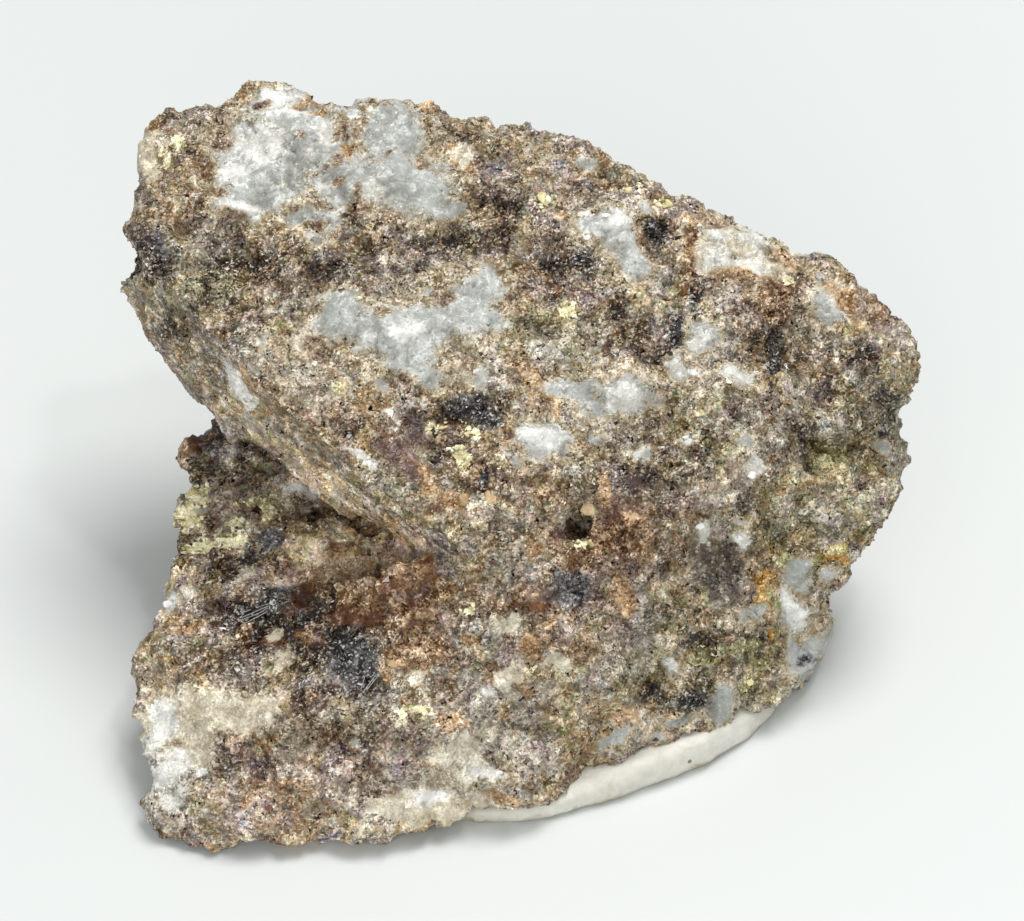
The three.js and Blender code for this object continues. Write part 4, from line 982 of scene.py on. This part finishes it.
def grainBlocks(tree, given):  # blocks on the surface, each turned and stretched its own way
    here = addNode(
        tree, "GeometryNodeInputNamedAttribute", {"data_type": "FLOAT"}, {"Name": given["Mineral"]}
    ).outputs["Attribute"]
    share = mathNode(tree, "MULTIPLY", here, given["Share"], True)
    points = addNode(
        tree,
        "GeometryNodeDistributePointsOnFaces",
        {"distribute_method": "RANDOM"},
        {
            "Mesh": given["Surface"],
            "Density": times(tree, share, given["Per Square Metre"]),
            "Seed": given["Seed"],
        },
    ).outputs
    depth = times(tree, times(tree, given["Sunk"], given["Size"]), -1.0)
    inward = scaled(tree, points["Normal"], depth)
    sunk = addNode(
        tree, "GeometryNodeSetPosition", inputs={"Geometry": points["Points"], "Offset": inward}
    ).outputs[0]
    thin = addNode(tree, "ShaderNodeCombineXYZ", inputs={0: 1.0, 1: 1.0, 2: given["Flatness"]}).outputs[0]
    stretch = vectorNode(tree, "MULTIPLY", randomVector(tree, *grainShape["stretch"], 5), thin)
    block = addNode(tree, "GeometryNodeMeshCube", inputs={"Size": (1.0, 1.0, 1.0)}).outputs["Mesh"]
    return addNode(
        tree,
        "GeometryNodeInstanceOnPoints",
        inputs={
            "Points": sunk,
            "Instance": block,
            "Rotation": randomVector(tree, 0.0, grainShape["turn"], 3),
            "Scale": scaled(tree, stretch, given["Size"]),
        },
    ).outputs[0]


def grainTree(name, material):
    tree = bpy.data.node_groups.new(name, "GeometryNodeTree")
    face = tree.interface
    face.new_socket("Surface", in_out="INPUT", socket_type="NodeSocketGeometry")
    for label, kind in grainSockets.items():
        face.new_socket(label, in_out="INPUT", socket_type="NodeSocket" + kind)
    face.new_socket("Grains", in_out="OUTPUT", socket_type="NodeSocketGeometry")
    given = addNode(tree, "NodeGroupInput").outputs
    pick = addNode(tree, "FunctionNodeRandomValue", {"data_type": "FLOAT"}, {"Seed": 9}).outputs[1]
    grains = addNode(
        tree,
        "GeometryNodeStoreNamedAttribute",
        {"data_type": "FLOAT", "domain": "INSTANCE"},
        {"Geometry": grainBlocks(tree, given), "Name": "grain", "Value": pick},
    ).outputs[0]
    grains = addNode(tree, "GeometryNodeRealizeInstances", inputs={"Geometry": grains}).outputs[0]
    # corners move a little, so that no grain stays a plain block
    place = addNode(tree, "GeometryNodeInputPosition").outputs[0]
    wobble = noiseNode(tree, place, grainShape["wobbleScale"], 0.0).outputs["Color"]
    wobble = scaled(tree, vectorNode(tree, "SUBTRACT", wobble, (0.5, 0.5, 0.5)), given["Size"])
    for kind, inputs in (
        ("GeometryNodeSetPosition", {"Offset": wobble}),
        ("GeometryNodeSetShadeSmooth", {"Shade Smooth": False}),
        ("GeometryNodeSetMaterial", {"Material": material}),
    ):
        grains = addNode(tree, kind, inputs={"Geometry": grains, **inputs}).outputs[0]
    addNode(tree, "NodeGroupOutput", inputs={"Grains": grains})
    return tree


def growGrains(name, surface, material, facts):
    carrier = newPiece(name + "Carrier", surface)
    grow = carrier.modifiers.new("Grow", "NODES")
    grow.node_group = grainTree(name, material)
    for item in grow.node_group.interface.items_tree:
        if item.name in facts:
            grow[item.identifier] = facts[item.name]
    mesh = plainMesh(carrier)
    carrier.modifiers.remove(grow)
    bpy.data.objects.remove(carrier)
    storePoints(mesh, meshArray(mesh, "co"), grainShape["lowest"])
    mesh.name = name
    print(name + ":", len(mesh.polygons) * 2, "triangles")
    return newPiece(name, mesh)


def grainMaterial(name, roughness, coat=0.0):
    material, tree, shader = bareMaterial(name)
    own = mathNode(tree, "SUBTRACT", attributeOf(tree, "grain"), 0.5)
    fine = partOf(tree, cellsOf(tree, crystalSizes["fine"]))
    setFinish(tree, shader, mineralColour(tree, own, fine)[0], roughness, coat)
    return material


def oneMineral(name, tones, roughness, coat=0.0):
    material, tree, shader = bareMaterial(name)
    cloud = noiseNode(tree, objectPlace(tree), *grainCloud["noise"]).outputs["Fac"]
    cloud = times(tree, mathNode(tree, "SUBTRACT", cloud, 0.5), grainCloud["share"])
    tone = mathNode(tree, "ADD", attributeOf(tree, "grain"), cloud, True)
    setFinish(tree, shader, trueColour(tree, rampOf(tree, tone, tones)), roughness, coat)
    return material


grainCloud = {"noise": (1500.0, 5.0, 0.75), "share": 2.2}  # scale, detail and roughness
darkTones = [(0.0, (0.134, 0.118, 0.111)), (0.7, (0.256, 0.218, 0.197)), (1.0, (0.381, 0.299, 0.256))]
grainLooks = {
    "sugarGrains": grainMaterial("sugarGrain", 0.38),
    "coarseGrains": grainMaterial("coarseGrain", 0.3, 0.2),
    "darkGrains": oneMineral("darkGrain", darkTones, 0.2, 0.4),
    "crustGrains": oneMineral("crustGrain", rockTones["crust"], 0.6),
}
rockPieces = [rockPiece]
for name, facts in grainKinds.items():
    rockPieces.append(growGrains(name, rockMesh, grainLooks[name], facts))


# Single crystals and needles
crystals = {  # each is [across, up, size in millimetres]
    "tanCrystals": [
        (-3.3, 18.2, 1.6), (3, 14.9, 0.9), (-4.3, 2.2, 0.8), (4.5, -3.0, 1.05), (-1.3, -2.2, 1.3),
        (-2.8, -2.2, 1.1), (7.2, -3.5, 0.7), (6.6, -8.3, 0.8), (6.6, -9.2, 0.7), (-7.3, -12.2, 0.7),
        (-10.2, 4.9, 0.5), (1.3, -8.1, 0.7),
    ],
    "yellowCrystals": [
        (1.9, 15.9, 1.1), (9, 15.4, 1.1), (6.9, 16.2, 0.7), (16.6, 10.8, 0.6), (-2.4, -8.7, 0.8),
        (-18.9, -1.7, 0.8), (-19.5, -3.5, 0.8), (-18.3, -4.8, 0.7), (-15, -2.7, 0.7), (-2.6, 1.7, 0.6),
        (-3.1, 0.2, 0.6), (-9.1, 9.8, 0.5), (-10.3, 6.6, 0.6), (14.4, -13.4, 0.7),
    ],
    "whiteCrystals": [
        (14.3, -0.8, 0.7), (11.6, -4.1, 0.7), (-20.6, -8.6, 0.8), (5.7, 14.9, 0.6), (4.5, 13.4, 0.5),
        (-1.9, 5.3, 0.6), (10.3, 1.4, 0.6), (-20.3, -8.2, 0.6), (13.8, -4.6, 0.5),
    ],
}
crystalShape = {
    "corners": 15,
    "reach": np.array((0.5, 0.42, 0.36)),  # shares of a crystal's size
    "sunk": 0.16,
}
crystalTones = {
    "tanCrystals": [(0.0, (0.57, 0.44, 0.30)), (0.5, (0.73, 0.61, 0.44)), (1.0, (0.88, 0.80, 0.64))],
    "yellowCrystals": [(0.0, (0.66, 0.59, 0.39)), (0.5, (0.83, 0.775, 0.57)), (1.0, (0.95, 0.92, 0.76))],
    "whiteCrystals": [
        (0.0, (0.793, 0.799, 0.781)), (0.5, (0.883, 0.888, 0.872)), (1.0, (0.953, 0.953, 0.944)),
    ],
}
needles = [  # from one end to the other, in millimetres
    (-16.6, -9.7, -13.2, -8.2), (-16.2, -9.4, -13.9, -8.3), (-14.6, -8.4, -13.4, -7.8),
    (-16.4, -9.75, -13.6, -8.55), (-16.0, -9.2, -13.3, -7.95), (-15.6, -9.35, -13.8, -8.5),
    (-9.3, -14.2, -8.8, -13.0), (-9.0, -14.0, -8.2, -12.8), (-8.8, -13.7, -7.9, -12.7),
]
needleShape = {"sides": 5, "above": 0.00003, "radii": (0.00003, 0.00002)}
seekRadius = 0.35  # millimetres
needleTones = [(0.0, (0.659, 0.667, 0.652)), (1.0, (0.85, 0.856, 0.839))]


def seenPoint(across, up):  # the place and outward way of the surface that shows at this spot
    away = np.hypot(rockSpots[:, 0] - across, rockSpots[:, 1] - up)
    near = np.flatnonzero((away < seekRadius) & (rockNormals @ toEye > 0.05))
    best = near[np.argmax(rockPoints[near] @ toEye - 0.002 * away[near])]
    return rockPoints[best], rockNormals[best]


def bodyPiece(name, body, material):
    mesh = bpy.data.meshes.new(name)
    body.to_mesh(mesh)
    body.free()
    mesh.materials.append(material)
    return newPiece(name, mesh)


def growCrystals(name, places, material):
    body = bmesh.new()
    grain = []
    for index, (across, up, size) in enumerate(places):
        point, outward = seenPoint(across, up)
        corners = dice.normal(size=(crystalShape["corners"], 3))
        corners /= np.linalg.norm(corners, axis=1)[:, None]
        corners *= crystalShape["reach"] * size / millimetres
        centre = point - outward * size * crystalShape["sunk"] / millimetres
        made = [body.verts.new(centre + corner) for corner in corners]
        bmesh.ops.convex_hull(body, input=made)
        grain += [0.3 + 0.6 * cellRandom(np.array((index, 3.0, 5.0)), 7)] * len(made)
    piece = bodyPiece(name, body, material)
    storeValues(piece.data, "grain", grain)
    return piece


def growNeedles(material):
    body = bmesh.new()
    for across, up, farAcross, farUp in needles:
        first, outward = seenPoint(across, up)
        last = seenPoint(farAcross, farUp)[0]
        way = (last - first) / np.linalg.norm(last - first)
        aside = np.cross(way, outward)
        corners = []
        for end, radius in zip((first, last), needleShape["radii"]):
            for turn in range(needleShape["sides"]):
                angle = math.tau * turn / needleShape["sides"]
                reach = aside * math.cos(angle) + outward * math.sin(angle)
                corners.append(body.verts.new(end + outward * needleShape["above"] + reach * radius))
        bmesh.ops.convex_hull(body, input=corners)
    return bodyPiece("paleNeedles", body, material)


dice = np.random.default_rng(5)
rockPoints = meshArray(rockMesh, "co")
rockNormals = meshArray(rockMesh, "normal")
rockSpots = acrossAndUp(rockPoints)
for name, places in crystals.items():
    rockPieces.append(growCrystals(name, places, oneMineral(name, crystalTones[name], 0.35, 0.2)))
rockPieces.append(growNeedles(oneMineral("paleNeedles", needleTones, 0.3, 0.3)))
print("single crystals and needles")

for piece in rockPieces:
    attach(piece, "root")
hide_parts("rock")
print("grains placed")


# The putty
puttyShape = {
    "cell": 0.00015,
    "smoothing": 3,
    "swell": 0.00012,
    "relief": ((0.003, 0.00012, 71), (0.0011, 0.00006, 72), (0.0005, 0.00003, 73)),  # size, height, kind
    "rise": 0.00035,
}
puttyLook = {
    "tones": [(0.3, (0.56, 0.525, 0.44)), (0.48, (0.68, 0.66, 0.58)), (0.7, (0.735, 0.72, 0.655))],
    "cloud": (260.0, 4.0, 0.6),  # scale, detail and roughness
    "mottle": (0.0007, 5.0, 0.75),  # size, detail and roughness
    "mottleShare": 0.55,
    "level": 0.98,
    "grime": (0.36, 0.29, 0.17),  # old dirt, thickest along the foot
    "grimeHeight": 0.0009,
    "footShare": 0.42,
    "grimeNoise": (0.0012, 5.0, 0.7, 0.5),
    "grimeNoiseShare": 1.6,
    "grimeStep": (0.12, 0.6),
    "grimeShare": 0.7,
    "specks": (0.22, 0.17, 0.12),
    "speckScale": 1400.0,
    "speckChoice": (0.43, 0.45),
    "speckEdge": (0.28, 0.2),
}


def puttyMaterial():
    material, tree, shader = bareMaterial("puttyWad")
    place = objectPlace(tree)
    cloud = noiseNode(tree, place, *puttyLook["cloud"]).outputs["Fac"]
    mottle = times(tree, fractal(tree, *puttyLook["mottle"]), puttyLook["mottleShare"])
    mottle = plus(tree, mottle, puttyLook["level"])
    colour = scaled(tree, rampOf(tree, cloud, puttyLook["tones"]), mottle)
    low = addNode(tree, "ShaderNodeSeparateXYZ", inputs={0: place}).outputs["Z"]
    foot = times(tree, stepOf(tree, low, puttyLook["grimeHeight"], 0.0), puttyLook["footShare"])
    patchy = times(tree, fractal(tree, *puttyLook["grimeNoise"]), puttyLook["grimeNoiseShare"])
    grime = stepOf(tree, plus(tree, foot, patchy), *puttyLook["grimeStep"])
    colour = mixed(tree, times(tree, grime, puttyLook["grimeShare"]), colour, puttyLook["grime"])
    dirt = addNode(
        tree, "ShaderNodeTexVoronoi", inputs={"Vector": place, "Scale": puttyLook["speckScale"]}
    )
    chosen = stepOf(tree, partOf(tree, dirt), *puttyLook["speckChoice"])
    share = times(tree, chosen, stepOf(tree, dirt.outputs["Distance"], *puttyLook["speckEdge"]))
    setFinish(tree, shader, mixed(tree, share, colour, puttyLook["specks"]), 0.62)
    shader.inputs["Subsurface Weight"].default_value = 0.15
    shader.inputs["Subsurface Radius"].default_value = (1.0, 0.9, 0.7)
    shader.inputs["Subsurface Scale"].default_value = 0.0006
    return material


def makePutty():
    mesh = fineCopy("putty_pad", puttyShape["cell"], puttyShape["smoothing"])
    points = meshArray(mesh, "co")
    normals = meshArray(mesh, "normal")
    swell = np.full(len(points), puttyShape["swell"])
    for size, height, kind in puttyShape["relief"]:
        swell += height * softNoise(points, size, kind)
    points += normals * swell[:, None]
    points[:, 2] += puttyShape["rise"] * between(normals[:, 2], 0.1, 0.6)
    storePoints(mesh, points)
    mesh.materials.append(puttyMaterial())
    return mesh


puttyMesh = makePutty()
puttyPiece = newPiece("puttyWad", puttyMesh)
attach(puttyPiece, "root")
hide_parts("putty_pad")
print("putty:", len(puttyMesh.polygons) * 2, "triangles")


# Floor, light and camera
studio = {
    "floorColour": (0.655, 0.675, 0.658),
    "floorFaint": 0.985,
    "floorHalf": 1.6,
    "floorDrop": 0.00002,
    "sky": 0.48,
    "skyColour": (0.95, 0.98, 1.0, 1),
    "overhead": (0.17, 0.21, 0.74, 0.38, 4.5),  # across, along, height, size, watts
    "front": (-0.08, -0.40, 0.20, 0.40, 0.85),
    "glint": (0.10, -0.04, 0.40, 0.03, 0.16),
    "aim": (0, 0, 0.01),
    "sensor": 36,
}


def makeFloor():
    mesh = bpy.data.meshes.new("paleFloor")
    half = studio["floorHalf"]
    corners = [(-half, -half, 0), (half, -half, 0), (half, half, 0), (-half, half, 0)]
    mesh.from_pydata(corners, [], [(0, 1, 2, 3)])
    floor = newPiece("paleFloor", mesh)
    floor.location.z = -studio["floorDrop"]
    material, tree, shader = bareMaterial("paleFloor")
    cloud = noiseNode(tree, objectPlace(tree), 30.0).outputs["Fac"]
    plain = studio["floorColour"]
    faint = tuple(studio["floorFaint"] * part for part in plain)
    setFinish(tree, shader, rampOf(tree, cloud, [(0.0, faint), (1.0, plain)]), 0.5)
    mesh.materials.append(material)


def makeLight(name, facts):
    across, along, height, size, watts = facts
    light = bpy.data.lights.new(name, "AREA")
    light.shape = "DISK"
    light.size = size
    light.energy = watts
    lamp = newPiece(name, light)
    lamp.location = (across, along, height)
    way = Vector(studio["aim"]) - lamp.location
    lamp.rotation_euler = way.to_track_quat("-Z", "Y").to_euler()


def makeSky():
    world = bpy.data.worlds.new("studioAir")
    world.use_nodes = True
    air = world.node_tree.nodes["Background"]
    air.inputs["Color"].default_value = studio["skyColour"]
    air.inputs["Strength"].default_value = studio["sky"]
    bpy.context.scene.world = world


def makeCamera():
    camera = bpy.data.cameras.new("view")
    camera.sensor_width = studio["sensor"]
    camera.lens = studio["sensor"] * sight["distance"] / sight["width"]
    camera.clip_start = 0.01
    camera.clip_end = 10
    viewer = newPiece("view", camera)
    viewer.location = Vector(eyePlace)
    viewer.rotation_euler = Vector(-toEye).to_track_quat("-Z", "Y").to_euler()
    bpy.context.scene.camera = viewer


makeFloor()
for name in ("overhead", "front", "glint"):
    makeLight(name, studio[name])
makeSky()
makeCamera()
bpy.context.scene.view_settings.view_transform = "Standard"
print("floor, light and camera")
